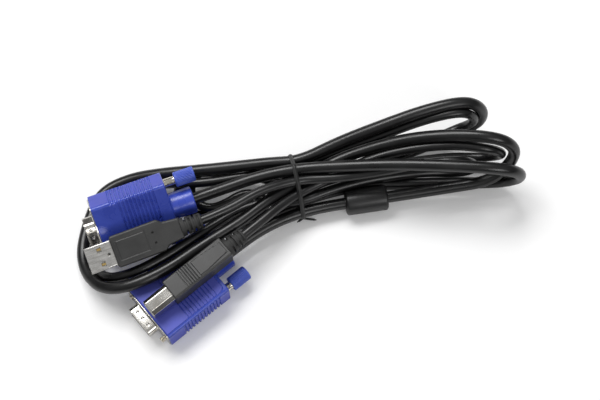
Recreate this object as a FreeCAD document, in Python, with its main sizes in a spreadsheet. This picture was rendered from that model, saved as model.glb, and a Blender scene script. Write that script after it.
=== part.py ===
import FreeCAD, Part
import math
import os
import Sketcher

# A computer-switch lead: a video cord with a 15-pin plug at each end and a data cord with a flat
# plug and a square plug, folded together into a hank and held by one twist tie.
# Frame: +Z up, origin on the table under the middle of the hank, X along the hank, millimetres.

Vector = FreeCAD.Vector

SIZES = {
    # video plug: the moulded hood, its neck and its two screws
    "hood_length": 35.0,
    "hood_height": 15.0,
    "hood_edge": 1.2,
    "panel_inset": 1.6,
    "panel_rise": 0.5,
    "panel_corner": 2.6,
    "rib_count": 10,
    "rib_pitch": 1.8,
    "rib_gap": 0.7,
    "rib_depth": 0.45,
    "rib_start": 12.4,
    "neck_diameter": 12.6,
    "neck_length": 11.0,
    "vent_inset": 6.3,
    "vent_radius": 0.55,
    "flank_wall": 1.25,
    "screw_spread": 12.5,
    "screw_reach": 5.5,
    "thread_radius": 1.42,
    "thread_length": 4.6,
    "waist_radius": 1.15,
    "waist_length": 3.0,
    "shank_radius": 1.95,
    "screw_clearance": 0.05,
    "knob_radius": 3.5,
    "knob_length": 9.5,
    "knob_gap": 0.5,
    "knob_bore": 8.0,
    "spigot_radius": 1.5,
    "knurl_count": 24,
    "knurl_depth": 0.28,
    # video plug: the D-shell, the insulator and the pins
    "flange_rim": 1.0,
    "flange_hole_gap": 0.18,
    "flange_height": 12.2,
    "flange_thick": 0.6,
    "d_width": 16.9,
    "d_height": 8.3,
    "d_slope": 1.46,
    "d_corner": 2.5,
    "d_wall": 0.45,
    "d_reach": 5.0,
    "dimple_radius": 0.75,
    "dimple_depth": 0.25,
    "dimple_pitch": 3.8,
    "core_depth": 7.0,
    "core_rim": 0.35,
    "core_gap": 0.1,
    "pin_radius": 0.5,
    "pin_pitch": 2.29,
    "pin_row": 1.98,
    "pin_reach": 4.4,
    "pin_tail": 0.4,
    # flat data plug
    "flat_width": 12.0,
    "flat_height": 4.5,
    "flat_wall": 0.3,
    "flat_exposed": 12.2,
    "flat_grip_width": 15.0,
    "flat_grip_height": 8.0,
    "flat_grip_length": 23.7,
    "flat_shoulder": 1.2,
    "flat_tail_width": 11.4,
    "flat_tail_taper": 0.85,
    "flat_tail_length": 8.5,
    "frame_inset": 2.0,
    "frame_length": 14.0,
    "frame_side": 2.9,
    "frame_line": 0.5,
    "dot_inset": 4.35,
    "dot_spread": 2.4,
    "flat_tongue": 2.0,
    "window_length": 2.0,
    "window_width": 2.5,
    "window_spread": 3.25,
    "window_share": 0.52,
    # square data plug
    "square_width": 8.45,
    "square_height": 7.78,
    "square_cut": 1.9,
    "square_wall": 0.35,
    "square_exposed": 12.0,
    "square_grip_width": 10.4,
    "square_grip_height": 10.4,
    "square_grip_length": 32.6,
    "square_core_width": 5.6,
    "square_core_height": 3.2,
    "ridge_start": 7.4,
    "ridge_count": 6,
    "ridge_pitch": 1.25,
    "ridge_gap": 0.5,
    "pad_gap": 0.5,
    "pad_inset": 1.4,
    "pad_rise": 0.4,
    "side_dot_inset": 11.6,
    "seat_depth": 1.6,
    # strain relief shared by both data plugs
    "relief_length": 10.0,
    "relief_front": 4.0,
    "relief_back": 3.0,
    "relief_slot": 1.1,
    # cords, ferrite and tie
    "video_cord_radius": 2.6,
    "data_cord_radius": 1.95,
    "ferrite_radius": 6.0,
    "ferrite_length": 20.0,
    "ferrite_wall": 1.1,
    "ferrite_clearance": 0.12,
    "tie_width": 2.0,
    "tie_thick": 0.6,
    "tie_clearance": 0.4,
    "tie_wire": 0.6,
    "tail_gap": 0.05,
    # share of each leg that a bend in a cord may take up
    "cord_share": 0.45,
}

doc = FreeCAD.newDocument("kvm_cable")
sheet = doc.addObject("Spreadsheet::Sheet", "sizes")
for row, (alias, number) in enumerate(SIZES.items(), start=1):
    sheet.set("A%d" % row, alias)
    sheet.set("B%d" % row, "%g" % number)
    sheet.setAlias("B%d" % row, alias)
doc.recompute()


class Size:
    """A length that knows its number and the sheet expression that gives it."""

    def __init__(self, number, text):
        self.number = number
        self.text = text

    def join(self, other, sign, number):
        right = other.text if isinstance(other, Size) else "%g" % other
        return Size(number, "(%s %s %s)" % (self.text, sign, right))

    def __add__(self, other):
        return self.join(other, "+", self.number + value(other))

    def __sub__(self, other):
        return self.join(other, "-", self.number - value(other))

    def __rsub__(self, other):
        return -self + other

    def __mul__(self, other):
        return self.join(other, "*", self.number * value(other))

    def __truediv__(self, other):
        return self.join(other, "/", self.number / value(other))

    def __neg__(self):
        return self * -1


def value(size):
    return size.number if isinstance(size, Size) else float(size)


def size(name):
    return Size(SIZES[name], "sizes." + name)


def bind(thing, name, amount):
    """Sets a property from a size, by expression where the size comes from the sheet."""
    if isinstance(amount, Size):
        thing.setExpression(name, amount.text)
    else:
        setattr(thing, name, amount)


def new_body(label):
    body = doc.addObject("PartDesign::Body", label)
    body.Label = label
    body.AllowCompound = True
    return body


def new_sketch(body, role, offset=0.0):
    """An empty sketch on one of the body's origin planes, moved along its normal."""
    sketch = body.newObject("Sketcher::SketchObject", body.Label + "_sketch")
    plane = [feature for feature in body.Origin.OriginFeatures if feature.Role == role]
    sketch.AttachmentSupport = [(plane[0], "")]
    sketch.MapMode = "FlatFace"
    sketch.AttachmentOffset = FreeCAD.Placement(Vector(0, 0, value(offset)), FreeCAD.Rotation())
    if isinstance(offset, Size):
        sketch.setExpression("AttachmentOffset.Base.z", offset.text)
    return sketch


def pin_point(sketch, geometry, position, point):
    """Ties one point of the sketch to the origin by two sizes."""
    for kind, axis, amount in (("DistanceX", -2, point[0]), ("DistanceY", -1, point[1])):
        if value(amount) == 0:
            sketch.addConstraint(Sketcher.Constraint("PointOnObject", geometry, position, axis))
            continue
        index = sketch.addConstraint(
            Sketcher.Constraint(kind, -1, 1, geometry, position, value(amount)))
        if isinstance(amount, Size):
            sketch.setExpression("Constraints[%d]" % index, amount.text)


def polygon(sketch, points):
    first = sketch.GeometryCount
    count = len(points)
    corners = [Vector(value(x), value(y), 0) for x, y in points]
    for i in range(count):
        sketch.addGeometry(Part.LineSegment(corners[i], corners[(i + 1) % count]), False)
    for i in range(count):
        following = first + (i + 1) % count
        sketch.addConstraint(Sketcher.Constraint("Coincident", first + i, 2, following, 1))
    for i in range(count):
        pin_point(sketch, first + i, 1, points[i])


def rectangle(sketch, low, high):
    polygon(sketch, [low, (high[0], low[1]), high, (low[0], high[1])])


def circle(sketch, centre, radius):
    middle = Vector(value(centre[0]), value(centre[1]), 0)
    index = sketch.addGeometry(Part.Circle(middle, Vector(0, 0, 1), value(radius)), False)
    pin_point(sketch, index, 3, centre)
    rule = sketch.addConstraint(Sketcher.Constraint("Radius", index, value(radius)))
    if isinstance(radius, Size):
        sketch.setExpression("Constraints[%d]" % rule, radius.text)


def grow(body, sketch, length, both_ways=False, backwards=False):
    pad = body.newObject("PartDesign::Pad", body.Label + "_pad")
    pad.Profile = sketch
    bind(pad, "Length", length)
    pad.Midplane = both_ways
    pad.Reversed = backwards
    doc.recompute()
    return pad


def cut(body, sketch, length, both_ways=False, forwards=False):
    """Removes material against the sketch's normal, or along it when forwards."""
    before = body.Shape.Volume
    pocket = body.newObject("PartDesign::Pocket", body.Label + "_pocket")
    pocket.Profile = sketch
    bind(pocket, "Length", length)
    pocket.Midplane = both_ways
    pocket.Reversed = forwards
    doc.recompute()
    if body.Shape.Volume > before - 1e-6:
        raise RuntimeError("%s: a cut removed nothing" % body.Label)
    return pocket


def spin(body, sketch):
    turned = body.newObject("PartDesign::Revolution", body.Label + "_spin")
    turned.Profile = sketch
    turned.ReferenceAxis = (sketch, ["H_Axis"])
    turned.Angle = 360
    doc.recompute()
    return turned


def repeat_along(body, feature, sketch, count, span):
    row = body.newObject("PartDesign::LinearPattern", body.Label + "_row")
    row.Originals = [feature]
    row.Direction = (sketch, ["H_Axis"])
    bind(row, "Length", span)
    bind(row, "Occurrences", count)
    body.Tip = row
    doc.recompute()


def repeat_round(body, feature, sketch, count):
    ring = body.newObject("PartDesign::PolarPattern", body.Label + "_ring")
    ring.Originals = [feature]
    ring.Axis = (sketch, ["N_Axis"])
    ring.Angle = 360
    bind(ring, "Occurrences", count)
    body.Tip = ring
    doc.recompute()


def soften(body, radius, test, kind="Fillet"):
    """Fillets or chamfers the edges of the body's last feature that pass the test."""
    tip = body.Tip
    chosen = ["Edge%d" % number
              for number, edge in enumerate(tip.Shape.Edges, start=1) if test(edge)]
    if not chosen:
        raise RuntimeError("%s: no edge to soften" % body.Label)
    feature = body.newObject("PartDesign::" + kind, body.Label + "_" + kind.lower())
    feature.Base = (tip, chosen)
    bind(feature, "Radius" if kind == "Fillet" else "Size", radius)
    doc.recompute()


def runs_along(edge, axis):
    if edge.Curve.TypeId != "Part::GeomLine":
        return False
    return abs(abs(edge.Curve.Direction.dot(axis)) - 1) < 1e-6


def long_edge(edge):
    return runs_along(edge, Vector(1, 0, 0))


def lies_at(edge, position):
    box = edge.BoundBox
    return abs(box.XMin - position) < 1e-4 and abs(box.XMax - position) < 1e-4


# Video plug, seen from the cord: X runs from the hood's front face towards the cord, Y across the
# hood and Z out of the face with the raised panel.

def d_outline(inset):
    """Corners of the D: a wide side at +Z and a narrow one at -Z."""
    wide = size("d_width") / 2 - inset
    narrow = wide - size("d_slope")
    up = size("d_height") / 2 - inset
    return [(-wide, up), (-narrow, -up), (narrow, -up), (wide, up)]


def hood_half_width():
    """Each flank lies one wall outside its screw hole."""
    hole = size("shank_radius") + size("screw_clearance")
    return size("screw_spread") + hole + size("flank_wall")


def flange_half_width():
    """The flange ends one rim outside its screw hole."""
    return size("screw_spread") + flange_hole() + size("flange_rim")


def flange_hole():
    return size("thread_radius") + size("flange_hole_gap")


def core_half():
    """Half the insulator block's width and height, one rim larger than the D."""
    return (size("d_width") / 2 + size("core_rim"), size("d_height") / 2 + size("core_rim"))


def pin_centres():
    """Three rows of five, the middle row half a pitch aside."""
    for row in (-1, 0, 1):
        for column in range(-2, 3):
            aside = 0.25 if row == 0 else -0.25
            yield size("pin_pitch") * (column + aside), size("pin_row") * row


def make_hood(label):
    body = new_body(label)
    half_width = hood_half_width()
    top = size("hood_height") / 2
    length = size("hood_length")
    deck = top - size("panel_rise")

    block = new_sketch(body, "YZ_Plane")
    rectangle(block, (-half_width, -top), (half_width, deck))
    grow(body, block, length)
    soften(body, size("hood_edge"), long_edge)
    soften(body, size("hood_edge") / 2, lambda edge: lies_at(edge, value(length)))

    panel = new_sketch(body, "XY_Plane", deck)
    inner = half_width - size("panel_inset")
    rectangle(panel, (0, -inner), (length - size("panel_inset"), inner))
    grow(body, panel, size("panel_rise"))
    soften(body, size("panel_corner"), lambda edge: (
        runs_along(edge, Vector(0, 0, 1)) and edge.BoundBox.ZMax > value(top) - 1e-4
        and edge.BoundBox.XMin > value(length) / 2))

    neck = new_sketch(body, "YZ_Plane", length - 1)
    circle(neck, (0, 0), size("neck_diameter") / 2)
    grow(body, neck, size("neck_length") + 1)
    soften(body, 0.6, lambda edge: lies_at(edge, value(length + size("neck_length"))))

    start = size("rib_start")
    span = size("rib_pitch") * (size("rib_count") - 1)
    across = new_sketch(body, "XZ_Plane")
    rectangle(across, (start, top - size("rib_depth")), (start + size("rib_gap"), top + 1))
    repeat_along(body, cut(body, across, inner * 2, both_ways=True), across,
                 size("rib_count"), span)
    under = new_sketch(body, "XZ_Plane")
    rectangle(under, (start, -top - 1), (start + size("rib_gap"), size("rib_depth") - top))
    repeat_along(body, cut(body, under, half_width * 2, both_ways=True), under,
                 size("rib_count"), span)
    for side in (-1, 1):
        flank = new_sketch(body, "XY_Plane", deck - 1.3)
        near = (half_width - size("rib_depth")) * side
        far = (half_width + 1) * side
        low, high = (near, far) if side > 0 else (far, near)
        rectangle(flank, (start - 3.6, low), (start + size("rib_gap") - 3.6, high))
        repeat_along(body, cut(body, flank, size("hood_height")), flank,
                     size("rib_count") + 2, span + size("rib_pitch") * 2)

    screws = new_sketch(body, "YZ_Plane")
    for side in (-1, 1):
        circle(screws, (size("screw_spread") * side, 0),
               size("shank_radius") + size("screw_clearance"))
    cut(body, screws, length + 1, forwards=True)
    cavity = new_sketch(body, "YZ_Plane")
    wide, tall = (edge + size("core_gap") for edge in core_half())
    rectangle(cavity, (-wide, -tall), (wide, tall))
    cut(body, cavity, size("core_depth"), forwards=True)
    vent = new_sketch(body, "XY_Plane", -top)
    circle(vent, (length - size("vent_inset"), 0), size("vent_radius"))
    cut(body, vent, 1.2, forwards=True)
    return body


def make_d_shell(label):
    """A rounded D-shaped tube on a flange: a filled blank less the room inside the tube."""
    body = new_body(label + "_blank")
    thick = size("flange_thick")
    reach = size("d_reach")
    wall = new_sketch(body, "YZ_Plane", -thick - reach)
    polygon(wall, d_outline(0))
    grow(body, wall, reach + thick)
    soften(body, size("d_corner"), long_edge)
    soften(body, 0.12, lambda edge: lies_at(edge, value(-thick - reach)), "Chamfer")

    plate = new_sketch(body, "YZ_Plane", -thick)
    half = (flange_half_width(), size("flange_height") / 2)
    rectangle(plate, (-half[0], -half[1]), half)
    grow(body, plate, thick)
    soften(body, 1.6, lambda edge: (
        long_edge(edge) and abs(edge.BoundBox.YMin) > value(half[0]) - 1e-3))
    mouth = new_sketch(body, "YZ_Plane")
    polygon(mouth, d_outline(size("d_wall") * 3))
    cut(body, mouth, thick)
    for side in (-1, 1):
        dents = new_sketch(body, "XY_Plane", size("d_height") / 2 * side)
        for step in (-1, 0, 1):
            circle(dents, (-thick - reach * 0.52, size("dimple_pitch") * step),
                   size("dimple_radius"))
        cut(body, dents, size("dimple_depth"), forwards=side < 0)
    holes = new_sketch(body, "YZ_Plane")
    for side in (-1, 1):
        circle(holes, (size("screw_spread") * side, 0), flange_hole())
    cut(body, holes, thick * 2)

    room = new_body(label + "_room")
    inside = new_sketch(room, "YZ_Plane", -thick - reach - 1)
    polygon(inside, d_outline(size("d_wall")))
    grow(room, inside, reach + 1)
    soften(room, size("d_corner") - size("d_wall"), long_edge)
    shell = doc.addObject("Part::Cut", label)
    shell.Label = label
    shell.Base = body
    shell.Tool = room
    doc.recompute()
    return shell


def make_insulator(label):
    body = new_body(label)
    block = new_sketch(body, "YZ_Plane")
    wide, tall = core_half()
    rectangle(block, (-wide, -tall), (wide, tall))
    grow(body, block, size("core_depth") - size("core_gap") * 2)
    nose = new_sketch(body, "YZ_Plane", -size("flange_thick"))
    polygon(nose, d_outline(size("d_wall") * 3 + 0.05))
    grow(body, nose, size("flange_thick"))
    holes = new_sketch(body, "YZ_Plane", -size("flange_thick"))
    for centre in pin_centres():
        circle(holes, centre, size("pin_tail") + 0.02)
    cut(body, holes, size("core_depth") - 1, forwards=True)
    return body


def make_pins(label):
    body = new_body(label)
    row = new_sketch(body, "YZ_Plane", -size("flange_thick") - size("pin_reach"))
    for centre in pin_centres():
        circle(row, centre, size("pin_radius"))
    grow(body, row, size("pin_reach"))
    tip = value(-size("flange_thick") - size("pin_reach"))
    soften(body, 0.25, lambda edge: lies_at(edge, tip), "Chamfer")
    tails = new_sketch(body, "YZ_Plane", -size("flange_thick"))
    for centre in pin_centres():
        circle(tails, centre, size("pin_tail"))
    grow(body, tails, size("core_depth") - 2)
    return body


def make_screw(label):
    """A captive screw: a threaded tip, a thin waist, the shank and a spigot for the knob."""
    body = new_body(label)
    profile = new_sketch(body, "XZ_Plane")
    tip = -size("screw_reach")
    waist = tip + size("thread_length")
    shoulder = waist + size("waist_length")
    seat = size("hood_length") + size("knob_gap")
    thread = size("thread_radius")
    end = seat + size("knob_bore")
    polygon(profile, [
        (tip, 0), (tip, thread - 0.4), (tip + 0.4, thread), (waist, thread),
        (waist, size("waist_radius")), (shoulder, size("waist_radius")),
        (shoulder, size("shank_radius")), (seat, size("shank_radius")),
        (seat, size("spigot_radius")), (end, size("spigot_radius")), (end, 0)])
    spin(body, profile)
    return body


def make_knob(label):
    body = new_body(label)
    profile = new_sketch(body, "XZ_Plane")
    seat = size("hood_length") + size("knob_gap")
    end = seat + size("knob_length")
    floor = seat + size("knob_bore")
    radius = size("knob_radius")
    polygon(profile, [
        (seat, size("spigot_radius")), (seat, radius - 0.35), (seat + 0.35, radius),
        (end - 0.6, radius), (end, radius - 0.6), (end, 0), (floor, 0),
        (floor, size("spigot_radius"))])
    spin(body, profile)
    notch = new_sketch(body, "YZ_Plane", seat + 0.7)
    polygon(notch, [(radius - size("knurl_depth"), 0), (radius + 0.3, -0.6), (radius + 0.3, 0.6)])
    groove = cut(body, notch, size("knob_length") - 1.7, forwards=True)
    repeat_round(body, groove, notch, size("knurl_count"))
    return body


# Data plugs: X runs from the shell's open front towards the cord.

def add_relief(body, start):
    """A tapered sleeve with slots that alternate between the flanks and the faces."""
    profile = new_sketch(body, "XZ_Plane")
    end = start + size("relief_length")
    polygon(profile, [
        (start - 1, 0), (start - 1, size("relief_front")), (start, size("relief_front")),
        (end, size("relief_back")), (end, 0)])
    spin(body, profile)
    slot = size("relief_slot")
    for number in range(4):
        low = start + size("relief_slot") * (1 + 2 * number)
        for side in (-1, 1):
            across = new_sketch(body, "XZ_Plane" if number % 2 else "XY_Plane")
            near, far = (1.9, 6.0) if side > 0 else (-6.0, -1.9)
            rectangle(across, (low, near), (low + slot, far))
            cut(body, across, 12.0, both_ways=True)


def make_flat_shell(label):
    body = new_body(label)
    half = (size("flat_width") / 2, size("flat_height") / 2)
    wall = size("flat_wall")
    depth = size("flat_exposed") + size("seat_depth")
    tube = new_sketch(body, "YZ_Plane")
    rectangle(tube, (-half[0], -half[1]), half)
    grow(body, tube, depth)
    soften(body, 0.55, long_edge)
    hollow = new_sketch(body, "YZ_Plane")
    rectangle(hollow, (wall - half[0], wall - half[1]), (half[0] - wall, half[1] - wall))
    cut(body, hollow, depth + 1, forwards=True)
    windows = new_sketch(body, "XY_Plane")
    middle = size("flat_exposed") * size("window_share")
    for side in (-1, 1):
        centre = size("window_spread") * side
        rectangle(windows, (middle - size("window_length") / 2, centre - size("window_width") / 2),
                  (middle + size("window_length") / 2, centre + size("window_width") / 2))
    rectangle(windows, (middle + 3.1, -0.6), (middle + 4.3, 0.6))
    cut(body, windows, size("flat_height") + 2, both_ways=True)
    return body


def make_flat_tongue(label):
    body = new_body(label)
    low = size("flat_wall") - size("flat_height") / 2
    block = new_sketch(body, "YZ_Plane", 0.5)
    half = size("flat_width") / 2 - size("flat_wall") - 0.1
    rectangle(block, (-half, low), (half, low + size("flat_tongue")))
    grow(body, block, size("flat_exposed") + size("seat_depth") - 0.5)
    return body


def make_flat_contacts(label):
    body = new_body(label)
    deck = size("flat_wall") - size("flat_height") / 2 + size("flat_tongue")
    strips = new_sketch(body, "XY_Plane", deck)
    for centre in (-3.5, -1.0, 1.0, 3.5):
        rectangle(strips, (1.4 if abs(centre) > 2 else 2.4, centre - 0.5), (9.4, centre + 0.5))
    grow(body, strips, 0.2)
    return body


def make_flat_grip(label):
    body = new_body(label)
    front = size("flat_exposed")
    shoulder = front + size("flat_grip_length")
    back = shoulder + size("flat_tail_length")
    wide = size("flat_grip_width") / 2
    tail = size("flat_tail_width") / 2
    ease = size("flat_shoulder")
    taper = size("flat_tail_taper")
    outline = new_sketch(body, "XY_Plane")
    polygon(outline, [
        (front, -wide), (shoulder - ease, -wide), (shoulder + ease, -tail), (back, taper - tail),
        (back, tail - taper), (shoulder + ease, tail), (shoulder - ease, wide), (front, wide)])
    grow(body, outline, size("flat_grip_height"), both_ways=True)
    soften(body, 1.4, lambda edge: runs_along(edge, Vector(0, 0, 1)))
    top = value(size("flat_grip_height") / 2)
    soften(body, 0.9, lambda edge: (
        abs(edge.BoundBox.ZMin - edge.BoundBox.ZMax) < 1e-4
        and abs(abs(edge.BoundBox.ZMin) - top) < 1e-4))
    add_relief(body, back)

    frame = new_sketch(body, "XY_Plane", size("flat_grip_height") / 2)
    near = front + size("frame_inset")
    far = near + size("frame_length")
    edge = wide - size("frame_side")
    line = size("frame_line")
    rectangle(frame, (near, -edge), (far, edge))
    rectangle(frame, (near + line, line - edge), (far - line, edge - line))
    cut(body, frame, 0.25)
    dots = new_sketch(body, "XY_Plane", size("flat_grip_height") / 2)
    for side in (-1, 1):
        circle(dots, (shoulder - size("dot_inset"), size("dot_spread") * side), 0.45)
    cut(body, dots, 0.6)
    seat = new_sketch(body, "YZ_Plane", front)
    half = (size("flat_width") / 2, size("flat_height") / 2)
    rectangle(seat, (-half[0], -half[1]), half)
    cut(body, seat, size("seat_depth"), forwards=True)
    return body


def square_outline(inset):
    """The square plug's section: both upper corners cut away."""
    wide = size("square_width") / 2 - inset
    tall = size("square_height") / 2 - inset
    slope = size("square_cut") - inset * 0.586
    return [(-wide, -tall), (wide, -tall), (wide, tall - slope), (wide - slope, tall),
            (slope - wide, tall), (-wide, tall - slope)]


def make_square_shell(label):
    body = new_body(label)
    depth = size("square_exposed") + size("seat_depth")
    tube = new_sketch(body, "YZ_Plane")
    polygon(tube, square_outline(0))
    grow(body, tube, depth)
    soften(body, 0.5, long_edge)
    hollow = new_sketch(body, "YZ_Plane")
    polygon(hollow, square_outline(size("square_wall")))
    cut(body, hollow, depth + 1, forwards=True)
    return body


def make_square_core(label):
    body = new_body(label)
    half = (size("square_core_width") / 2, size("square_core_height") / 2)
    block = new_sketch(body, "YZ_Plane", 0.8)
    rectangle(block, (-half[0], -half[1]), half)
    grow(body, block, size("square_exposed") + size("seat_depth") - 0.8)
    soften(body, 0.4, lambda edge: lies_at(edge, 0.8), "Chamfer")
    return body


def make_square_contacts(label):
    body = new_body(label)
    for side in (-1, 1):
        strips = new_sketch(body, "XY_Plane", size("square_core_height") / 2 * side)
        for centre in (-1.25, 1.25):
            rectangle(strips, (2.0, centre - 0.5), (10.0, centre + 0.5))
        grow(body, strips, 0.2, backwards=side < 0)
    return body


def make_square_grip(label):
    body = new_body(label)
    front = size("square_exposed")
    half = (size("square_grip_width") / 2, size("square_grip_height") / 2)
    back = front + size("square_grip_length")
    first = front + size("ridge_start")
    pad = first + size("ridge_pitch") * size("ridge_count") + size("pad_gap")
    block = new_sketch(body, "YZ_Plane", front)
    rectangle(block, (-half[0], -half[1]), half)
    grow(body, block, size("square_grip_length"))
    soften(body, 1.0, long_edge)
    soften(body, 0.6, lambda edge: lies_at(edge, value(back)))
    soften(body, 0.4, lambda edge: lies_at(edge, value(front)))
    for side in (-1, 1):
        rear = new_sketch(body, "XY_Plane", half[1] * side)
        inset = size("pad_inset")
        rectangle(rear, (pad, inset - half[0]), (back - inset, half[0] - inset))
        grow(body, rear, size("pad_rise"), backwards=side < 0)
    span = size("ridge_pitch") * (size("ridge_count") - 1)
    for side in (-1, 1):
        ridge = new_sketch(body, "XZ_Plane")
        low, high = (half[1] - 0.4, half[1] + 1) if side > 0 else (-half[1] - 1, 0.4 - half[1])
        rectangle(ridge, (first, low), (first + size("ridge_gap"), high))
        repeat_along(body, cut(body, ridge, size("square_grip_width"), both_ways=True), ridge,
                     size("ridge_count"), span)
    add_relief(body, back)
    for side in (-1, 1):
        dot = new_sketch(body, "XZ_Plane", (half[0] - 0.5) * side)
        circle(dot, (back - size("side_dot_inset"), 0), 0.5)
        cut(body, dot, 1.0, forwards=side > 0)
    seat = new_sketch(body, "YZ_Plane", front)
    polygon(seat, square_outline(0))
    cut(body, seat, size("seat_depth"), forwards=True)
    return body


# Ferrite bead on the video cord: a moulded sleeve round a loose core, along its own X axis.

def make_ferrite_sleeve(label):
    body = new_body(label)
    half = size("ferrite_length") / 2
    radius = size("ferrite_radius")
    bore = size("video_cord_radius") + size("ferrite_clearance")
    room = radius - size("ferrite_wall")
    wall = half - size("ferrite_wall")
    profile = new_sketch(body, "XZ_Plane")
    polygon(profile, [
        (-half, bore), (-half, radius - 1.2), (1.2 - half, radius), (half - 1.2, radius),
        (half, radius - 1.2), (half, bore), (wall, bore), (wall, room), (-wall, room),
        (-wall, bore)])
    spin(body, profile)
    return body


def make_ferrite_core(label):
    body = new_body(label)
    half = size("ferrite_length") / 2 - size("ferrite_wall") - 0.1
    profile = new_sketch(body, "XZ_Plane")
    bore = size("video_cord_radius") + size("ferrite_clearance")
    room = size("ferrite_radius") - size("ferrite_wall") - 0.1
    rectangle(profile, (-half, bore), (half, room))
    spin(body, profile)
    return body


# Cords: straight runs joined by arcs, each arc taking the same share of its shorter run.

VIDEO_ROUTE = [
    (-49.6, 10.7, 17.7), (-36.5, 15.6, 17.7), (-19.2, 21.4, 19.5), (-0.2, 24.5, 21.4), (19.8, 24.5, 24.4),
    (41.8, 23.6, 28.9), (68.8, 21.2, 33.2), (93.2, 19.2, 34.3), (102.4, 20.4, 25.1), (102.4, 22.6, 12.1),
    (93.2, 24.4, 2.9), (69.8, 24.2, 2.9), (49.8, 23.6, 2.9), (31.8, 23.8, 2.9), (13.8, 19.6, 2.9),
    (-0.2, 14.6, 3.9), (-14.2, 8.7, 2.8), (-26.2, 3, 2.8), (-38.7, 1.2, 2.9), (-47.9, 10.2, 2.9),
    (-47.9, 23.4, 2.9), (-38.7, 32.6, 2.9), (-26.2, 32, 2.9), (-13.2, 29.2, 3.1), (-0.2, 26.6, 3.8),
    (14.8, 28.9, 2.9), (31.8, 33.2, 2.9), (54.8, 40.4, 2.9), (77.1, 51.2, 2.9), (86.3, 52, 12.1),
    (86.3, 52.9, 25.1), (77.1, 53.2, 34.3), (57.8, 48.8, 33.6), (37.8, 42.9, 29), (17.8, 37.6, 21.5),
    (-0.2, 30.2, 16), (-14.2, 29.5, 15.8), (-30.2, 27.9, 15), (-48.2, 26.5, 13.6), (-66.2, 26.4, 9.8),
    (-82.2, 25.4, 5), (-94.2, 18.1, 2.9), (-101.7, 4.6, 2.9), (-102.8, -10.4, 3.4), (-98.8, -23.4, 6.8),
    (-90.2, -31.6, 13.4), (-77.6, -32.1, 19.8), (-61.2, -24.4, 19.6), (-44.7, -11.4, 18.8), (-28.2, 0.6, 18.4),
    (-14.2, 11.3, 18.4), (-0.2, 20.6, 14.6), (14.8, 29.4, 17), (29.8, 33.6, 22), (49.8, 36.1, 29.8),
    (69.8, 35, 37), (90.1, 32.4, 39.6), (99.3, 31.2, 30.4), (99.3, 29, 18.4), (90.1, 22.6, 9.6),
    (69.8, 20, 7.6), (45.8, 16.4, 6.4), (17.8, 12.1, 6.4), (1.8, 8.5, 7), (-13.2, 2.2, 7.8),
    (-25.1, -5.4, 7.5), (-34.1, -13, 7.5),
]

DATA_ROUTE = [
    (-45.5, -2.4, 25), (-33.4, 2.4, 25), (-17.7, 11.2, 24), (-0.2, 19.5, 19.9), (14.8, 20, 20),
    (33.8, 21.9, 21.8), (55.8, 25, 26.2), (74.3, 25.8, 28.8), (81.9, 26.6, 21.2), (81.9, 28, 10.6),
    (74.3, 29.4, 3), (61.8, 29.4, 4.2), (47.8, 26.6, 7.6), (30.8, 23, 9.7), (14.8, 17.8, 11.2),
    (-0.2, 11.2, 12.4), (-14.2, 7.6, 8), (-25.2, 5.2, 8), (-36.6, 4.3, 7.9), (-44.2, 11.7, 7.8),
    (-44.2, 22.5, 7.6), (-36.6, 29.9, 7.4), (-25.2, 27.4, 6.8), (-13.2, 23.8, 6.4), (-0.2, 20.8, 6.5),
    (14.8, 24.6, 5.7), (30.8, 30.1, 7.6), (43.8, 35, 7.9), (57.8, 41.4, 8.2), (73.3, 49, 8.1),
    (80.6, 48.6, 15.2), (80.6, 47.6, 25.2), (73.3, 46.8, 32.3), (56.8, 44.8, 29), (37.8, 40.1, 23.2),
    (16.8, 35.4, 14.6), (-0.2, 29.6, 9.8), (-14.2, 27.2, 10.8), (-30.2, 23.6, 12.1), (-46.2, 21.6, 12.9),
    (-62.2, 21.4, 10), (-78.2, 21, 4.6), (-89.2, 15.1, 2.3), (-95.8, 3.6, 2.3), (-96.8, -8.9, 2.5),
    (-93.8, -18.4, 5.6), (-86.9, -25, 13.4), (-75.2, -25.6, 19), (-62.6, -18.7, 18.8), (-50.6, -9.2, 18),
    (-41.2, -1.8, 15.6), (-28.2, 6.3, 13.2), (-14.2, 11.4, 12.7), (-0.2, 15.8, 11.4), (11.8, 22.6, 10.6),
    (29.8, 27.6, 11.5), (49.8, 30.4, 10.6), (69.8, 32.4, 9.5), (86.2, 33.4, 8.5), (93.8, 31.8, 16.1),
    (93.8, 30, 26.9), (86.2, 29.1, 34.5), (69.8, 31.8, 32.4), (51.8, 31.4, 27.6), (32.8, 28.6, 21.2),
    (14.8, 22.6, 14.9), (-0.2, 14.6, 15.8), (-9.7, 7, 18.6), (-18.2, -1.4, 20.8), (-26.2, -8.2, 20.8),
]


def rounded_path(points, report):
    """Lines and tangent arcs along the points, printing the tightest arcs."""
    edges = []
    radii = []
    last = points[0]
    for before, corner, after in zip(points, points[1:], points[2:]):
        back, ahead = before - corner, after - corner
        reach = SIZES["cord_share"] * min(back.Length, ahead.Length)
        turn = math.pi - back.getAngle(ahead)
        radii.append(reach / math.tan(turn / 2))
        back.normalize()
        ahead.normalize()
        start, end = corner + back * reach, corner + ahead * reach
        inward = back + ahead
        inward.normalize()
        rise = radii[-1] / math.cos(turn / 2) - radii[-1]
        edges.append(Part.LineSegment(last, start).toShape())
        edges.append(Part.Arc(start, corner + inward * rise, end).toShape())
        last = end
    edges.append(Part.LineSegment(last, points[-1]).toShape())
    print(report, "tightest radii", [round(radius, 1) for radius in sorted(radii)[:4]])
    return Part.Wire(edges)


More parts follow.
